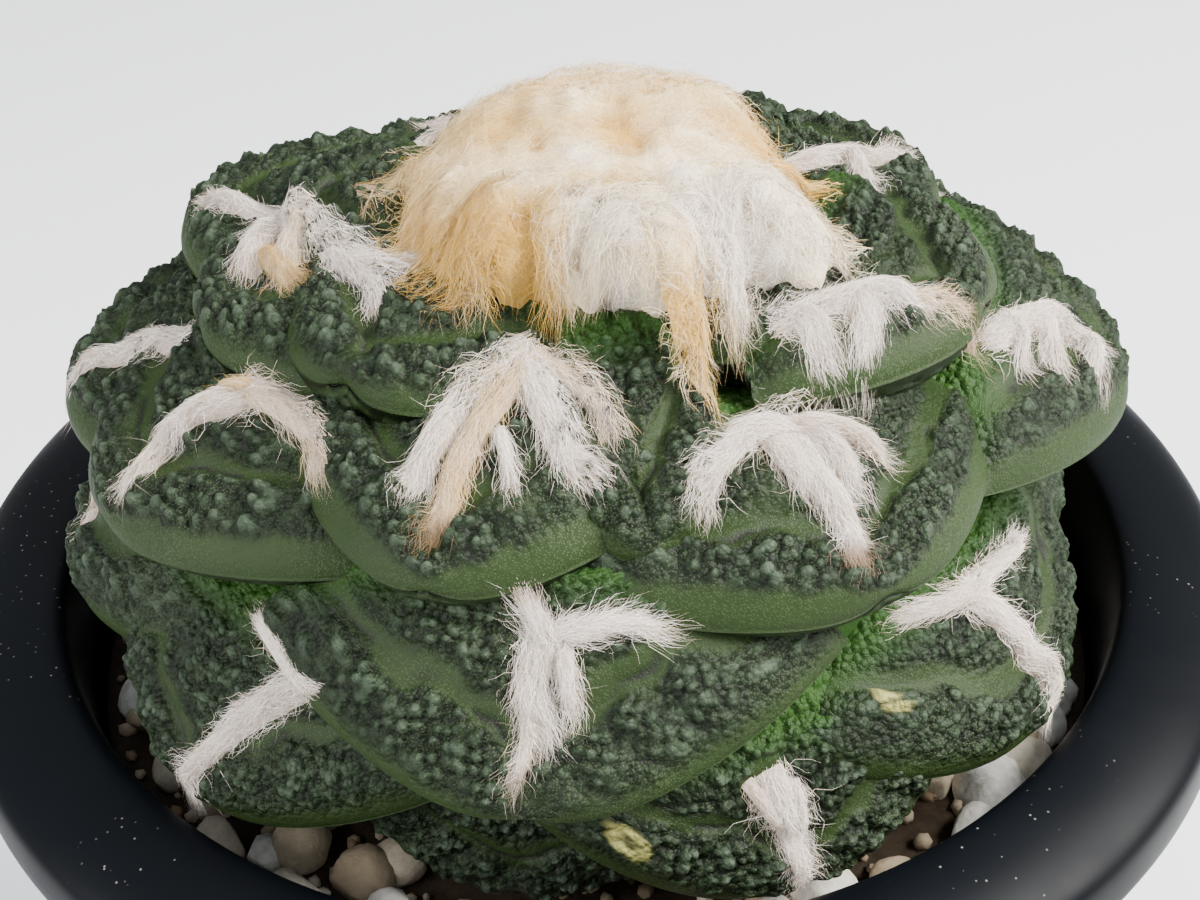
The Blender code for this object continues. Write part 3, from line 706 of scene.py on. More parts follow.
def make_body(skin):
    """Makes the fine body and gives a search tree of it."""
    whole = Parts()
    for count, numbers in enumerate(BODY_PIECES, 1):
        parts = Parts()
        for number in numbers:
            add_tubercle(parts, TUBERCLES[number])
        if count == 1:
            none = dict.fromkeys(("wart", "crease", "warty", "edge", "under", "scar"), 0.0)
            parts.add(*turned([(0.1, CORE_TOP), *CORE], CORE_SIDES), root=1.0, **none)
        show(parts.make(f"rock_cactus_tubercles_{count}", skin), "cactus_skin", "cactus_body")
        whole.add(parts.points, np.concatenate(parts.faces))
    return BVHTree.FromPolygons(whole.points.tolist(), np.concatenate(whole.faces).tolist())


# Materials


class Nodes:
    """Short calls for nodes. base is the colour so far, and relief the bumps."""

    def __init__(self, owner, colour=None):
        owner.use_nodes = True
        self.tree = owner.node_tree
        self.base = colour
        self.relief = {}

    def set(self, made, inputs):
        """Links outputs to a node's inputs, or gives them plain values."""
        for key, value in inputs.items():
            if isinstance(value, bpy.types.NodeSocket):
                self.tree.links.new(value, made.inputs[key])
            else:
                made.inputs[key].default_value = (*value, 1.0) if isinstance(value, tuple) else value

    def node(self, kind, inputs, output, **settings):
        """The output of a new node."""
        made = self.tree.nodes.new("ShaderNode" + kind)
        for key, value in settings.items():
            setattr(made, key, value)
        self.set(made, inputs)
        return made.outputs[output]

    def number(self, name):
        return self.node("Attribute", {}, "Fac", attribute_name=name)

    def place(self, kind="Object"):
        return self.node("TexCoord", {}, kind)

    def noise(self, scale, detail=2.0):
        return self.node("TexNoise", {"Vector": self.place(), "Scale": scale, "Detail": detail}, "Fac")

    def cells(self, scale):
        return self.node("TexVoronoi", {"Vector": self.place(), "Scale": scale}, "Distance")

    def times(self, first, second):
        return self.node("Math", {0: first, 1: second}, 0, operation="MULTIPLY")

    def between(self, value, start, end, low=0.0, high=1.0):
        names = ("Value", "From Min", "From Max", "To Min", "To Max")
        return self.node("MapRange", dict(zip(names, (value, start, end, low, high))), 0, clamp=True)

    def mix(self, share, first, second):
        return self.node("Mix", {"Factor": share, "A": first, "B": second}, "Result", data_type="RGBA")

    def cover(self, share, colour):
        """Puts a colour over the base, where share is 1."""
        self.base = self.mix(share, self.base, colour)

    def bump(self, height, strength, distance):
        inputs = {"Height": height, "Strength": strength, "Distance": distance, **self.relief}
        self.relief = {"Normal": self.node("Bump", inputs, "Normal")}


def material(name, colour, roughness, look=None, *details):
    """A plain material, or one that look() gives its nodes and its shine."""
    made = bpy.data.materials.new(name)
    n = Nodes(made, colour)
    shader = n.tree.nodes["Principled BSDF"]
    n.set(shader, {"Base Color": colour, "Roughness": roughness})
    if look:
        shine = look(n, *details)
        n.set(shader, {"Base Color": n.base, "Specular IOR Level": shine, **n.relief})
    return made


def skin_look(n):
    wart = n.number("wart")
    warty = n.number("warty")
    # Painted shade: the hollows between the warts are darker
    hollow_shade = n.mix(n.noise(260.0), (0.001, 0.0026, 0.0005), (0.0028, 0.0062, 0.0012))
    n.base = n.mix(n.noise(120.0), (0.007, 0.0155, 0.0028), (0.015, 0.028, 0.0055))
    n.cover(n.between(warty, 0.1, 0.6), hollow_shade)
    n.cover(n.between(wart, 0.08, 0.4), (0.006, 0.0125, 0.004))
    # Greyer, paler wart tips: partly their own grey tone, partly a painted highlight
    tip = n.times(n.between(wart, 0.35, 0.75), n.between(n.noise(200.0), 0.3, 0.7, 0.35, 1.0))
    n.cover(tip, (0.042, 0.06, 0.039))
    # Painted shade in the creases of the face
    n.cover(n.number("crease"), (0.006, 0.006, 0.005))
    # Under the tubercles the grooves between the knobs are darker: painted shade
    knobs = n.times(n.cells(520.0), n.number("under"))
    under = n.mix(n.between(knobs, 0.2, 0.55), (0.009, 0.022, 0.0034), (0.003, 0.007, 0.0013))
    n.cover(n.number("under"), under)
    n.cover(n.number("root"), (0.013, 0.044, 0.0035))
    n.cover(n.times(n.number("edge"), 0.45), (0.013, 0.027, 0.0045))
    papilla = n.between(n.cells(4200.0), 0.5, 0.2)
    patches = n.between(n.noise(90.0), 0.35, 0.7, 0.05, 0.3)
    n.cover(n.times(papilla, patches), (0.09, 0.128, 0.055))
    n.cover(n.number("scar"), (0.26, 0.25, 0.08))
    n.bump(knobs, 0.8, -0.0016)
    n.bump(n.times(n.cells(1500.0), n.between(warty, 0.0, 0.6, 0.1, 1.0)), 0.55, -0.0008)
    n.bump(papilla, 0.3, 0.0002)
    return 0.16


def wool_look(n, gold, dark, shade):
    """Gold below 0 is white, and a low tint is painted shade: on the felt under the hairs and on patches of
    hairs.
    """
    tint = n.number("tint")
    n.cover(n.between(tint, 0.6, 1.0, 0.0, 0.7), (0.97, 0.94, 0.9))
    n.cover(n.number("gold"), gold)
    n.cover(n.between(n.number("gold"), 0.0, -0.5), (0.93, 0.84, 0.74))
    # Painted shade where the tint is low
    n.cover(n.between(tint, 0.4, 0.0, 0.0, shade), (0.33, 0.25, 0.19))
    n.cover(n.number("dark"), dark)
    fibres = n.noise(4200.0, 3.0)
    # Darker where the fibre bumps are low: painted shade between the fibres
    n.cover(n.between(fibres, 0.35, 0.6, 0.4, 0.0), (0.3, 0.22, 0.15))
    n.bump(fibres, 0.5, 0.0004)
    return 0.1


def pot_look(n):
    """Black plastic with a thin film of lime, and dust in patches."""
    film = n.between(n.noise(28.0, 6.0), 0.42, 0.75, 0.0, 0.5)
    n.base = n.mix(film, (0.001, 0.0014, 0.0022), (0.0025, 0.0035, 0.0055))
    dust = n.times(n.between(n.cells(900.0), 0.13, 0.05), n.between(n.noise(60.0), 0.5, 0.62))
    n.cover(dust, (0.13, 0.12, 0.11))
    n.relief["Roughness"] = n.between(n.noise(45.0, 5.0), 0.3, 0.7, 0.36, 0.55)
    return 0.07


def stone_look(n):
    """Stones from brown to white by tint, and dark earth where earth is 1."""
    tint = n.number("tint")
    n.base = n.mix(n.between(tint, 0.0, 0.45), (0.2, 0.125, 0.065), (0.5, 0.42, 0.3))
    n.cover(n.between(tint, 0.45, 0.9), (0.74, 0.73, 0.68))
    n.cover(n.times(n.between(n.noise(900.0, 4.0), 0.35, 0.7), 0.35), (0.16, 0.12, 0.08))
    earth = n.mix(n.noise(700.0, 4.0), (0.012, 0.008, 0.005), (0.05, 0.034, 0.02))
    n.cover(n.number("earth"), earth)
    n.bump(n.noise(1500.0, 4.0), 0.5, 0.0004)
    return 0.2


# Pot


def wall_radius(height, inward=WALL):
    """Radius of the pot's wall this far in from its outside, or else on its inside."""
    share = (height + POT_HEIGHT) / POT_HEIGHT
    return FOOT_RADIUS + (LIP_INNER_RADIUS + WALL - FOOT_RADIUS) * share - inward


def cut_corners(profile):
    """Rounds a profile by cutting its corners off."""
    profile = np.asarray(profile)
    first = profile[:-1] * 0.75 + profile[1:] * 0.25
    second = profile[:-1] * 0.25 + profile[1:] * 0.75
    inner = np.stack([first, second], 1).reshape(-1, 2)
    return np.concatenate([profile[:1], inner[1:-1], profile[-1:]])


def make_pot(material):
    floor = FLOOR - POT_HEIGHT
    base = [(0.0, -POT_HEIGHT), (FOOT_RADIUS - 1.5, -POT_HEIGHT), (FOOT_RADIUS, 1.5 - POT_HEIGHT)]
    lip = [(wall_radius(height, 0.0), height) for height in (-12.5, -6.5)]
    lip += [(LIP_OUTER_RADIUS + past, height) for past, height in LIP]
    lip += [(wall_radius(height), height) for height in (-6.0, -12.0)]
    inside = [(wall_radius(floor), floor), (0.0, floor)]
    profile = np.concatenate([base, cut_corners(cut_corners(lip)), inside])
    pot = fine_mesh("plant_pot", *turned(profile[::-1], POT_SIDES), material)
    weld(pot)
    drill(pot)
    weld(pot, SHARP_EDGE)
    show(pot, "black_plastic", "pot")


def drill(pot):
    """Cuts the drain holes through the pot's floor."""
    parts = Parts()
    top = FLOOR + 3.0
    profile = ((0.0, top), (DRAIN_RADIUS, top), (DRAIN_RADIUS, -3.0), (0.0, -3.0))
    for number in range(DRAIN_HOLES):
        points, faces = turned(profile, DRAIN_SIDES)
        turn = 2 * math.pi * number / DRAIN_HOLES
        parts.add(points + around(turn, DRAIN_RING, -POT_HEIGHT), faces)
    cutter = parts.make("drain_holes", pot.data.materials[0])
    weld(cutter)
    modifier = pot.modifiers.new("drain", "BOOLEAN")
    modifier.operation = "DIFFERENCE"
    modifier.solver = "MANIFOLD"
    modifier.object = cutter
    bpy.context.view_layer.update()
    drilled = bpy.data.meshes.new_from_object(pot.evaluated_get(bpy.context.evaluated_depsgraph_get()))
    pot.modifiers.clear()
    pot.data = drilled
    bpy.data.objects.remove(cutter)


# Gravel


def icosphere(subdivisions):
    bm = bmesh.new()
    bmesh.ops.create_icosphere(bm, subdivisions=subdivisions, radius=1.0)
    points = np.array([vertex.co for vertex in bm.verts])
    faces = np.array([[vertex.index for vertex in face.verts] for face in bm.faces])
    bm.free()
    return points, faces


def worn_stone(ball, chance, stretch, turn, size, flats):
    """A ball with some flats worn on it, stretched, turned and roughened."""
    points = ball.copy()
    for _ in range(flats):
        way = np.array([chance.gauss(0.0, 1.0) for _ in range(3)])
        way /= np.linalg.norm(way)
        over = np.maximum(0.0, points @ way - chance.uniform(0.66, 0.9))
        points -= np.multiply.outer(over * 0.85, way)
    shift = chance.uniform(0.0, 50.0)
    x, y, z = points.T
    rough = soft_noise(x * 2.5 + shift, y * 2.5 + z * 1.7, 3.0)
    fine = soft_noise(x * 8 + shift, y * 8 - z * 7, 4.0)
    points *= (1 + 0.05 * rough + 0.02 * fine)[:, None]
    points *= stretch
    spin = ((math.cos(turn), -math.sin(turn), 0.0), (math.sin(turn), math.cos(turn), 0.0), (0.0, 0.0, 1.0))
    return points @ np.array(spin).T * size


def make_gravel(material, cad_body):
    """Stones where the CAD's stones are, with grit and earth between them."""
    tree = BVHTree.FromObject(cad_body, bpy.context.evaluated_depsgraph_get())
    chance = random.Random(STONE_SEED)
    look = random.Random(STONE_SEED + 1)
    corners = len(icosphere(1)[0])
    ball, triangles = icosphere(3)
    parts = Parts()
    for number in range(STONES):
        azimuth = math.radians(GOLDEN_ANGLE * number)
        spread = math.sqrt(chance.random())
        radius = STONE_RING_INNER + (STONE_RING_OUTER - STONE_RING_INNER) * spread
        size = chance.uniform(STONE_SMALLEST, STONE_LARGEST)
        reach = size * STONE_REACH + CLEAR
        radius = min(radius, wall_radius(SOIL_TOP) - reach)
        centre = around(azimuth, radius, SOIL_TOP + size * STONE_SINK)
        near = tree.find_nearest(Vector((centre + LIP_PLANE) * METRE))
        if near[3] / METRE <= reach:
            continue
        turn = chance.uniform(0.0, math.pi)
        stretch = (chance.uniform(0.8, 1.1), chance.uniform(0.75, 1.0), chance.uniform(0.6, 0.85))
        for _ in range(corners):
            chance.uniform(0.88, 1.02)
        points = centre + worn_stone(ball, look, stretch, turn, size, STONE_FLATS)
        parts.add(points, triangles, tint=look.uniform(0.15, 1.0), earth=0.0)
    add_grit(parts, look)
    add_earth(parts)
    gravel = parts.make("gravel_and_soil", material)
    weld(gravel)
    show(gravel, "gravel", "soil")


def add_grit(parts, chance):
    """Small grains all over the top of the soil."""
    ball, triangles = icosphere(1)
    for _ in range(GRIT):
        azimuth = chance.uniform(0.0, 2 * math.pi)
        radius = math.sqrt(chance.uniform(29.0**2, 52.0**2))
        size = chance.uniform(0.4, 1.3)
        centre = around(azimuth, radius, SOIL_TOP + size * 0.3)
        stretch = (chance.uniform(0.8, 1.1), chance.uniform(0.75, 1.0), chance.uniform(0.6, 0.9))
        points = centre + worn_stone(ball, chance, stretch, chance.uniform(0.0, math.pi), size, GRIT_FLATS)
        parts.add(points, triangles, tint=chance.uniform(0.0, 0.8), earth=0.3 * chance.random())


def add_earth(parts):
    """The soil under the stones: a filled body with an uneven top."""
    bottom = -POT_HEIGHT + FLOOR + 0.3
    wall = wall_radius(SOIL_TOP) - CLEAR
    radii = np.linspace(27.5, wall - 0.1, 22)
    profile = [(0.0, bottom), (wall_radius(bottom) - CLEAR, bottom), (wall, SOIL_TOP - 0.4)]
    profile += [(radius, SOIL_TOP) for radius in radii[::-1]]
    profile += [(27.0, SOIL_TOP - 6.0), (0.0, SOIL_TOP - 6.0)]
    points, faces = turned(profile[::-1], SOIL_SIDES)
    top = points[:, 2] == SOIL_TOP
    points[top, 2] += 0.35 * soft_noise(points[top, 0], points[top, 1], 12.0, 1.3)
    parts.add(points, faces[:, (0, 1, 2, 0, 2, 3)].reshape(-1, 3), tint=0.1, earth=1.0)


# Wool


def make_hairs(name, strands, wool, tree, chance):
    """One mesh of the hairs of many locks, all of them clear of the plant."""
    parts = Parts()
    shades = []
    for points, normals, *looks in strands:
        points = clear_of(points, normals, tree)
        ribbon, faces, shade, numbers = ribbons(points, normals, *looks, chance)
        parts.add(ribbon, faces, **numbers)
        shades.append(shade)
    obj = parts.make(name, wool)
    obj.data.normals_split_custom_set_from_vertices(np.concatenate(shades).astype(np.float32))
    return obj


def clear_of(points, normals, tree):
    """Moves points that are in the plant, or too near it, out to the gap."""
    moved = points.copy()
    for place in np.ndindex(points.shape[:2]):
        way = -normals[place]
        found, facing, _, _ = tree.ray_cast(points[place] - way * CLEAR_REACH, way, CLEAR_REACH + HAIR_GAP)
        if found is not None and facing.dot(Vector(way)) < 0:
            moved[place] = np.array(found) - way * HAIR_GAP
    return moved


def ribbons(points, normals, width, tint, gold, dark, chance):
    """Ribbons along rows of points, each with a sharp end and shaded like the wool as a whole."""
    strands, count = points.shape[:2]
    along = unit(np.gradient(points, axis=1))
    side = unit(np.cross(along, normals))
    lift = unit(np.cross(side, along))
    roll = chance.uniform(-0.9, 0.9, strands)[:, None, None]
    side, lift = side * np.cos(roll) + lift * np.sin(roll), lift * np.cos(roll) - side * np.sin(roll)
    taper = 1 - np.linspace(0.0, 1.0, count) ** 2
    half = (width[:, None] * taper)[:, :, None] / 2
    both = np.stack([points - side * half, points + side * half], 2).reshape(strands, -1, 3)[:, :-1]
    shade = np.repeat(unit(normals * 0.55 + lift * 0.6), 2, axis=1)[:, :-1]
    index = np.arange(strands * (2 * count - 1)).reshape(strands, -1)
    faces = np.stack([index[:, :-2], index[:, 1:-1], index[:, 2:]], -1)
    faces[:, 1::2] = faces[:, 1::2][..., (0, 2, 1)]
    numbers = {
        "tint": np.repeat(tint, 2 * count - 1),
        "gold": np.repeat(gold, 2 * count - 1),
        "dark": np.repeat(dark, 2, axis=1)[:, :-1].ravel(),
    }
    return both.reshape(-1, 3), faces.reshape(-1, 3), shade.reshape(-1, 3), numbers


def follow(path, shares):
    """Places at these shares of the way along a path, and the way it runs there."""
    path = np.asarray(path, float)
    stops = np.linspace(0.0, 1.0, len(path))

    def at(shares):
        return np.stack([np.interp(shares, stops, axis) for axis in path.T], -1)

    return at(shares), unit(at(shares + 0.05) - at(shares - 0.05))


def felt_height(away, share, widths):
    """Height of the matted wool, this far from the path of its lock."""
    round_over = np.sqrt(np.clip(1 - (away / half_width(widths, share)) ** 2, 0.0, 1.0))
    ends = ramp(share, 1.02, 0.75) * (0.55 + 0.45 * ramp(share, 0.0, 0.15))
    return FELT_TOP * round_over * ends


def add_felt(parts, lie, row, seed, tint):
    """The matted wool under one lock. lie(u, v, height) gives points and normals in space."""
    path, widths, gold, end = row
    across = np.linspace(-1.0, 1.0, FELT_ACROSS)
    along = np.linspace(-0.08, 1.04, FELT_ALONG)
    inside = np.clip(along, 0.0, 1.0)
    places, ways = follow(path, inside)
    places = places + ways * (along - inside)[:, None] * 8
    half = half_width(widths, inside) * 0.8
    u = places[:, 0, None] + ways[:, 1, None] * half[:, None] * across
    v = places[:, 1, None] - ways[:, 0, None] * half[:, None] * across
    lump = 0.85 + 0.35 * soft_noise(u, v, seed, 1.6) + 0.22 * soft_noise(u * 1.4, v * 1.4, 5.0)
    away, share = off_path(u, v, path)
    height = felt_height(away, share, widths) * lump + 0.1
    height[:, (0, -1)] = FELT_EDGE
    height[(0, -1), :] = FELT_EDGE
    index = np.arange(u.size).reshape(u.shape)
    u, v, share, height = (grid.ravel() for grid in (u, v, share, height))
    gold = crown_gold(u, -v) if gold is None else gold
    parts.add(lie(u, v, height)[0], quads(index), tint=tint, gold=gold, dark=end * ramp(share, *DARK_END))


def grow(lie, u, v, heading, reach, step):
    """Rows of points for hairs from these places. step() gives their heights and turns."""
    rows = []
    for part in np.linspace(0.0, 1.0, STRAND_POINTS):
        height, dark, turn, heading = step(part, u, v, heading)
        rows.append((*lie(u, v, height), dark))
        u = u + np.sin(turn) * reach / (STRAND_POINTS - 1)
        v = v + np.cos(turn) * reach / (STRAND_POINTS - 1)
    return u, v, [np.stack(group, 1) for group in zip(*rows)]


def add_hairs(strands, rows, gold, patches, chance):
    """Adds hairs to the strands, each with a width and a tint. Patches of low tint are painted shade among
    the hairs.
    """
    points, normals, dark = rows
    width = chance.uniform(*HAIR_WIDTHS, len(gold))
    tint = np.clip(chance.random(len(gold)) + 0.4 * patches, 0.0, 1.0)
    strands.append((points, normals, width, tint, gold, dark))


def lock(strands, lie, row, kind, density, chance):
    """The hairs of one lock, this many for each square millimetre."""
    path, widths, gold, end = row
    fluff, length, curl = kind
    whole = np.linalg.norm(np.diff(path, axis=0), axis=1).sum()
    count = int(density * (whole + 2) * (widths[0] + widths[1]))
    start = chance.uniform(-0.1, 0.92, count)
    inside = np.clip(start, 0.0, 1.0)
    places, ways = follow(path, inside)
    offset = np.clip(chance.normal(0.0, 0.45, count), -0.95, 0.95)
    aside = np.stack([ways[:, 1], -ways[:, 0]], -1) * (offset * half_width(widths, inside))[:, None]
    u, v = (places + aside + ways * (np.minimum(start, 0.0) * whole)[:, None]).T
    reach = np.minimum(length * chance.uniform(0.4, 1.2, count), whole * 0.9 + 1.5)
    loose = chance.random(count) < LOOSE_SHARE
    reach = reach * (1 - 0.3 * np.abs(offset))
    heading = np.arctan2(*ways.T) + offset * 0.15 + 0.45 * soft_noise(u, v, 71.0, 1.8)
    heading = heading + chance.normal(0.0, curl, count) + np.where(loose, chance.normal(0.0, 0.8, count), 0.0)
    bend = chance.normal(0.0, 0.3 + curl, count)
    wave = chance.uniform(0.0, 6.28, count)
    rise = fluff * chance.uniform(0.1, 1.0, count) ** 1.6 * np.where(loose, 1.8, 1.0)
    steering = np.where(loose, 0.0, max(0.0, 0.5 - 0.5 * curl))

    def step(part, u, v, heading):
        away, share = off_path(u, v, path)
        arc = 0.3 + 1.3 * part - 0.8 * part**2
        height = felt_height(away, share, widths) + 0.08 + rise * arc + chance.normal(0.0, 0.05, count)
        turn = heading + bend * (part - 0.3) + 0.35 * np.sin(wave + part * 6.0)
        wanted = np.arctan2(*follow(path, share)[1].T)
        heading = heading + steering * wrapped(wanted - heading, 2 * math.pi)
        return height, end * ramp(share, *DARK_END), turn, heading

    u, v, rows = grow(lie, u, v, heading, reach, step)
    gold = crown_gold(u, -v) if gold is None else gold
    gold = gold + 0.25 * soft_noise(u, v, 72.0, 1.6) + chance.normal(0.0, 0.12, count)
    add_hairs(strands, rows, np.clip(gold, -1, 1), soft_noise(u, v, 73.0, 0.9), chance)


def on_face(tubercle):
    """The lie() of a tuft: over the face, and falling beyond its edge."""

    def lie(u, v, height):
        reach = np.where(v > 0, tubercle.length, ROOT_LENGTH)
        beyond = np.maximum(0.0, v / reach + np.abs(u) / tubercle.width - 0.97) * 12
        points = tubercle.face_point(u, v, height)
        points[:, 2] -= beyond**1.3
        tilt = np.multiply.outer(u / ACROSS_RADIUS, tubercle.across)
        return points, unit(tubercle.normal + tilt + (0.0, 0.0, 0.15))

    return lie


def make_tufts(wool, tree, chance):
    for count, (first, last) in enumerate(TUFT_PIECES, 1):
        strands = []
        felt = Parts()
        names = [f"areole_wool_{place + 1:02d}" for place in range(first, last)]
        for number in TUFTS[first:last]:
            lie = on_face(TUBERCLES[number])
            density = SEEN_STRANDS if number in LOCKS else COMMON_STRANDS
            for row in locks_of(number):
                add_felt(felt, lie, row, TUBERCLES[number].seed, FELT_TINT)
                lock(strands, lie, row, TUFT_HAIR, density, chance)
        show(make_hairs(f"areole_wool_hairs_{count}", strands, wool, tree, chance), "areole_wool", *names)
        show(felt.make(f"areole_wool_felt_{count}", wool), "areole_wool", *names)


# Crown wool


def crown_place(angle, radius):
    """Places this far from the crown's middle, at these azimuths in degrees."""
    turn = np.radians(angle)
    return CROWN_X + radius * np.sin(turn), CROWN_Y - radius * np.cos(turn)


def crown_edge(angle, cut=CROWN_FRONT_CUT):
    """Radius that the fleece reaches. At the front it stops short of the CAD's rim."""
    radius = np.full_like(angle, CROWN_RADIUS)
    for direction, reach, spread in CROWN_ARMS:
        radius = radius + reach * bell(wrapped(angle - direction), spread)
    return radius * (1 - cut * bell(wrapped(angle - CROWN_FRONT), CROWN_FRONT_SPREAD))


def crown_share(x, y):
    """How far out a place is: 0 in the crown's middle and 1 on the CAD's outline."""
    angle = np.degrees(np.arctan2(x - CROWN_X, -(y - CROWN_Y)))
    return np.hypot(x - CROWN_X, y - CROWN_Y) / crown_edge(angle, cut=0.0)


def crown_height(x, y, share):
    """Height of the top of the crown wool: a mound with soft lobes."""
    height = CROWN_TOP - CROWN_FALL * share**CROWN_FLATNESS
    for lobe_x, lobe_y, lift, size in CROWN_LOBES:
        height = height + lift * bell(np.hypot(x - lobe_x, y - lobe_y), size)
    return height


def crown_lumps(x, y):
    """The soft lumps of matted wool on the mound, in millimetres."""
    wide = soft_noise(x / 5.0 + 3.1, y / 5.0, 31.0)
    small = soft_noise(x / 1.9, y / 1.9 + 5.2, 32.0)
    return 1.5 * wide + 0.6 * small + 0.15 * soft_noise(x, y, 33.0, 0.7)


def on_mound(x, v, height):
    """The lie() of the crown wool, with v counted towards the front."""
    step = 0.4

    def top(x, y):
        return crown_height(x, y, np.minimum(crown_share(x, y), 1.25)) + crown_lumps(x, y)

    z = top(x, -v)
    slope_x = (top(x + step, -v) - z) / step
    slope_y = (top(x, -v + step) - z) / step
    normals = unit(np.stack([-slope_x, -slope_y, np.ones_like(z)], -1))
    return np.stack([x, -v, z], -1) + normals * height[:, None], normals


def crown_gold(x, y):
    """How golden the wool is, from -1 for white to 1."""
    # More golden in the creases between the lumps and whiter on their tops: partly the wool's own colour,
    # partly painted shade in the creases
    gold = 0.42 + 0.35 * soft_noise(x, y, 41.0, 4.5) - 0.26 * crown_lumps(x, y)
    gold = gold + 0.15 * soft_noise(x, y, 42.0, 1.1)
    for place_x, place_y, size, more in CROWN_TINTS:
        gold = gold + more * bell(np.hypot(x - place_x, y - place_y), size)
    return np.clip(gold, -1.0, 1.0)


def crown_felt(wool):
    turns = np.arange(CROWN_RAYS) * 360.0 / CROWN_RAYS
    reach = crown_edge(turns) * (0.91 + 0.08 * soft_noise(turns / 7.0, 0.0 * turns, 51.0))
    rings = []
    for share in (0.004, *np.linspace(0.02, 1.0, CROWN_RINGS)):
        x, y = crown_place(turns, reach * share)
        rings.append((x, y, crown_height(x, y, crown_share(x, y)) + crown_lumps(x, y) - 0.35))
    for share, lift in ((0.97, -2.0), (0.9, -4.0), (0.5, -8.0)):
        x, y = crown_place(turns, reach * share)
        rings.append((x, y, crown_height(x, y, 0.95) + lift))
    points = np.stack(rings).transpose(0, 2, 1).reshape(-1, 3)
    index = np.arange(len(points)).reshape(-1, CROWN_RAYS)
    parts = Parts()
    gold = crown_gold(points[:, 0], points[:, 1])
    # A tint of 0.3 paints a little shade on the mound's felt
    parts.add(points, quads(index, closed=True), tint=0.3, gold=gold, dark=0.0)
    for number, (wide, thin, *path) in enumerate(CROWN_LOCKS):
        path = np.reshape(path, (-1, 2)).astype(float)
        path[-1] = (path[-2] + path[-1]) / 2
        add_felt(parts, on_mound, (path, (wide * 0.9, thin * 0.6), None, CROWN_END), number, CROWN_FELT_TINT)
    show(parts.make("crown_wool_felt", wool), "crown_wool", "crown_wool")


def crown_hairs(strands, count, length, lift, chance):
    """Hairs that lie on the mound, run outwards and swirl in locks."""
    angle = chance.uniform(0.0, 360.0, count)
    share = 0.93 * np.sqrt(chance.random(count))
    x, y = crown_place(angle, crown_edge(angle) * share)
    reach = length * chance.uniform(0.4, 1.2, count) * (1 - 0.7 * ramp(share, 0.7, 0.95))
    swirl = (2.6 * soft_noise(x, y, 61.0, 5.0) + soft_noise(x, y, 63.0, 2.0)) * (1.15 - 0.35 * share)
    heading = np.radians(angle) + swirl + chance.normal(0.0, 1.2, count)
    bend = chance.normal(0.0, 1.6, count) + 1.4 * soft_noise(x, y, 62.0, 2.5)
    rise = lift * chance.uniform(0.15, 1.0, count) ** 1.5
    gold = np.clip(crown_gold(x, y) + chance.normal(0.0, 0.1, count), -1, 1)

    def step(part, u, v, heading):
        height = 0.15 + rise * (1.6 * part - 0.75 * part**2) + chance.normal(0.0, 0.06, count)
        return height, np.zeros(count), heading + bend * part, heading

    u, v, rows = grow(on_mound, x, -y, heading, reach, step)
    add_hairs(strands, rows, gold, soft_noise(u, -v, 74.0, 1.4), chance)


def make_crown(wool, tree, chance):
    crown_felt(wool)
    for piece in (1, 2):
        strands = []
        for count, length, lift in CROWN_HAIRS:
            crown_hairs(strands, count, length, lift, chance)
        for wide, thin, *path in CROWN_LOCKS[piece - 1 :: 2]:
            row = (np.reshape(path, (-1, 2)), (wide, thin), None, CROWN_END)
            lock(strands, on_mound, row, CROWN_HAIR, CROWN_LOCK_STRANDS, chance)
        show(make_hairs(f"crown_wool_hairs_{piece}", strands, wool, tree, chance), "crown_wool", "crown_wool")


# Stage, light and camera


def make_floor():
    half = FLOOR_SIZE / 2
    mesh = bpy.data.meshes.new("floor")
    corners = [(-half, -half, 0), (half, -half, 0), (half, half, 0), (-half, half, 0)]
    mesh.from_pydata(corners, [], [(0, 1, 2, 3)])
    mesh.materials.append(material("floor_look", (0.72, 0.73, 0.74), 0.8))
    return link("floor", mesh)


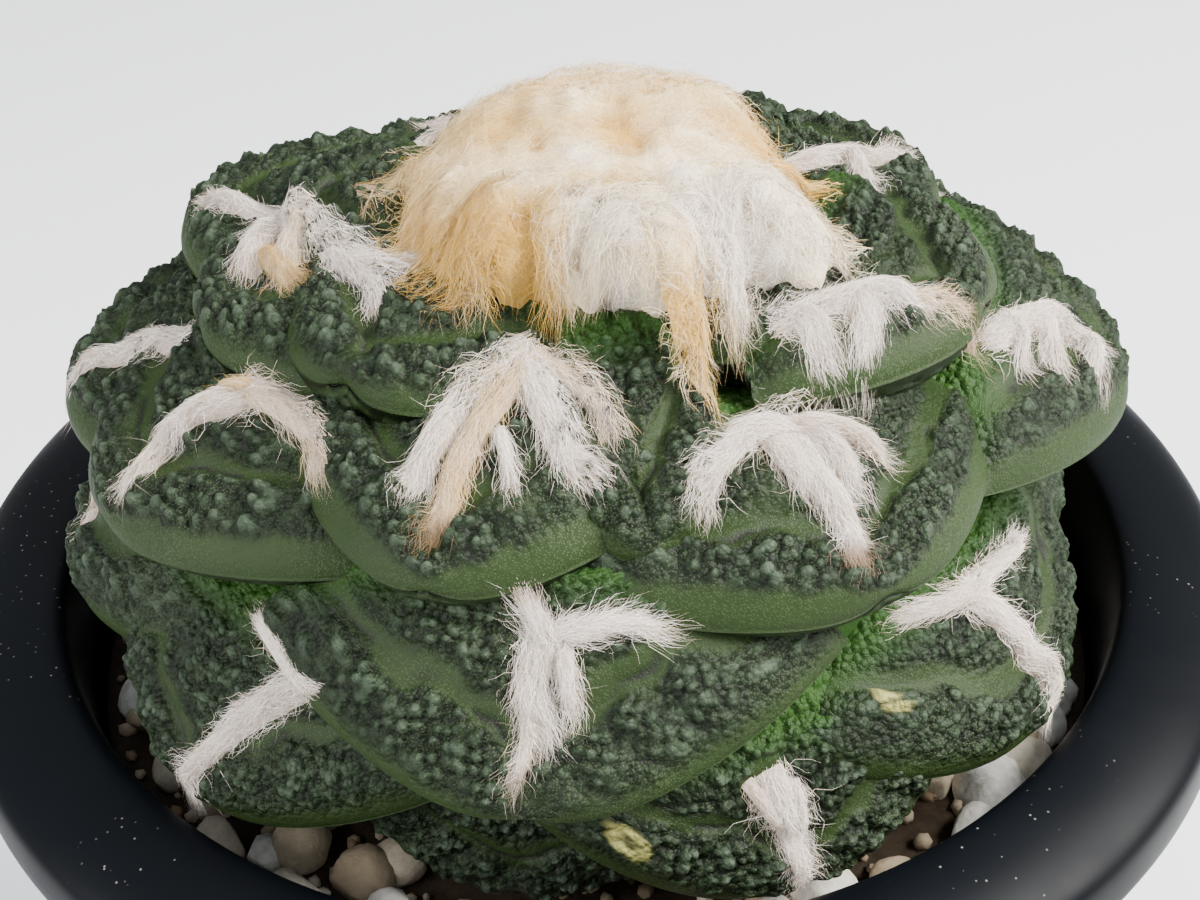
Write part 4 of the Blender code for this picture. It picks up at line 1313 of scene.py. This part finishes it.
def make_lights():
    for name, place, size, watts, colour in LIGHTS:
        data = bpy.data.lights.new(name, "AREA")
        data.energy = watts
        data.size = size
        data.color = colour
        lamp = link(name, data)
        lamp.location = place
        lamp.rotation_euler = (Vector(LIGHT_TARGET) - lamp.location).to_track_quat("-Z", "Y").to_euler()


def make_world():
    """A pale sky, brightest overhead."""
    world = bpy.data.worlds.new("studio")
    n = Nodes(world)
    height = n.node("SeparateXYZ", {0: n.place("Generated")}, "Z")
    strength = n.between(height, -0.1, 0.9, WORLD_LOW, WORLD_HIGH)
    n.set(n.tree.nodes["Background"], {"Strength": strength, "Color": WORLD_COLOUR})
    bpy.context.scene.world = world


def make_camera():
    data = bpy.data.cameras.new("photo_view")
    data.lens = LENS
    data.clip_start = 0.01
    tilt = Matrix.Rotation(math.radians(90.0 - CAMERA_TILT), 4, "X")
    turn = tilt @ Matrix.Rotation(math.radians(CAMERA_ROLL), 4, "Z")
    place = Vector(CAMERA_TARGET) + Vector(LIP_PLANE) + turn.to_3x3().col[2] * CAMERA_DISTANCE
    camera = link("photo_view", data)
    camera.matrix_world = Matrix.Translation(place * METRE) @ turn
    bpy.context.scene.camera = camera


# The scene

# Wool: material, what makes it, then its pale, golden and brown colours and how dark its painted shade is
WOOLS = (
    ("areole_wool_look", make_tufts, (0.74, 0.67, 0.63), (0.68, 0.42, 0.09), (0.15, 0.085, 0.035), 0.8),
    ("crown_wool_look", make_crown, (0.97, 0.83, 0.53), (0.62, 0.35, 0.04), (0.16, 0.075, 0.03), 0.6),
)
TUBERCLES = {number: Tubercle(number) for piece in BODY_PIECES for number in piece}

make_pot(material("black_plastic_look", (0.0012, 0.0016, 0.0024), 0.42, pot_look))
gravel = material("gravel_look", (0.5, 0.45, 0.36), 0.85, stone_look)
make_gravel(gravel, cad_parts["cactus_body"])
plant_tree = make_body(material("cactus_skin_look", (0.02, 0.04, 0.012), 0.6, skin_look))
chance = np.random.default_rng(WOOL_SEED)
for name, make, pale, *looks in WOOLS:
    make(material(name, pale, 0.9, wool_look, *looks), plant_tree, chance)

floor = make_floor()
make_world()
make_lights()
make_camera()
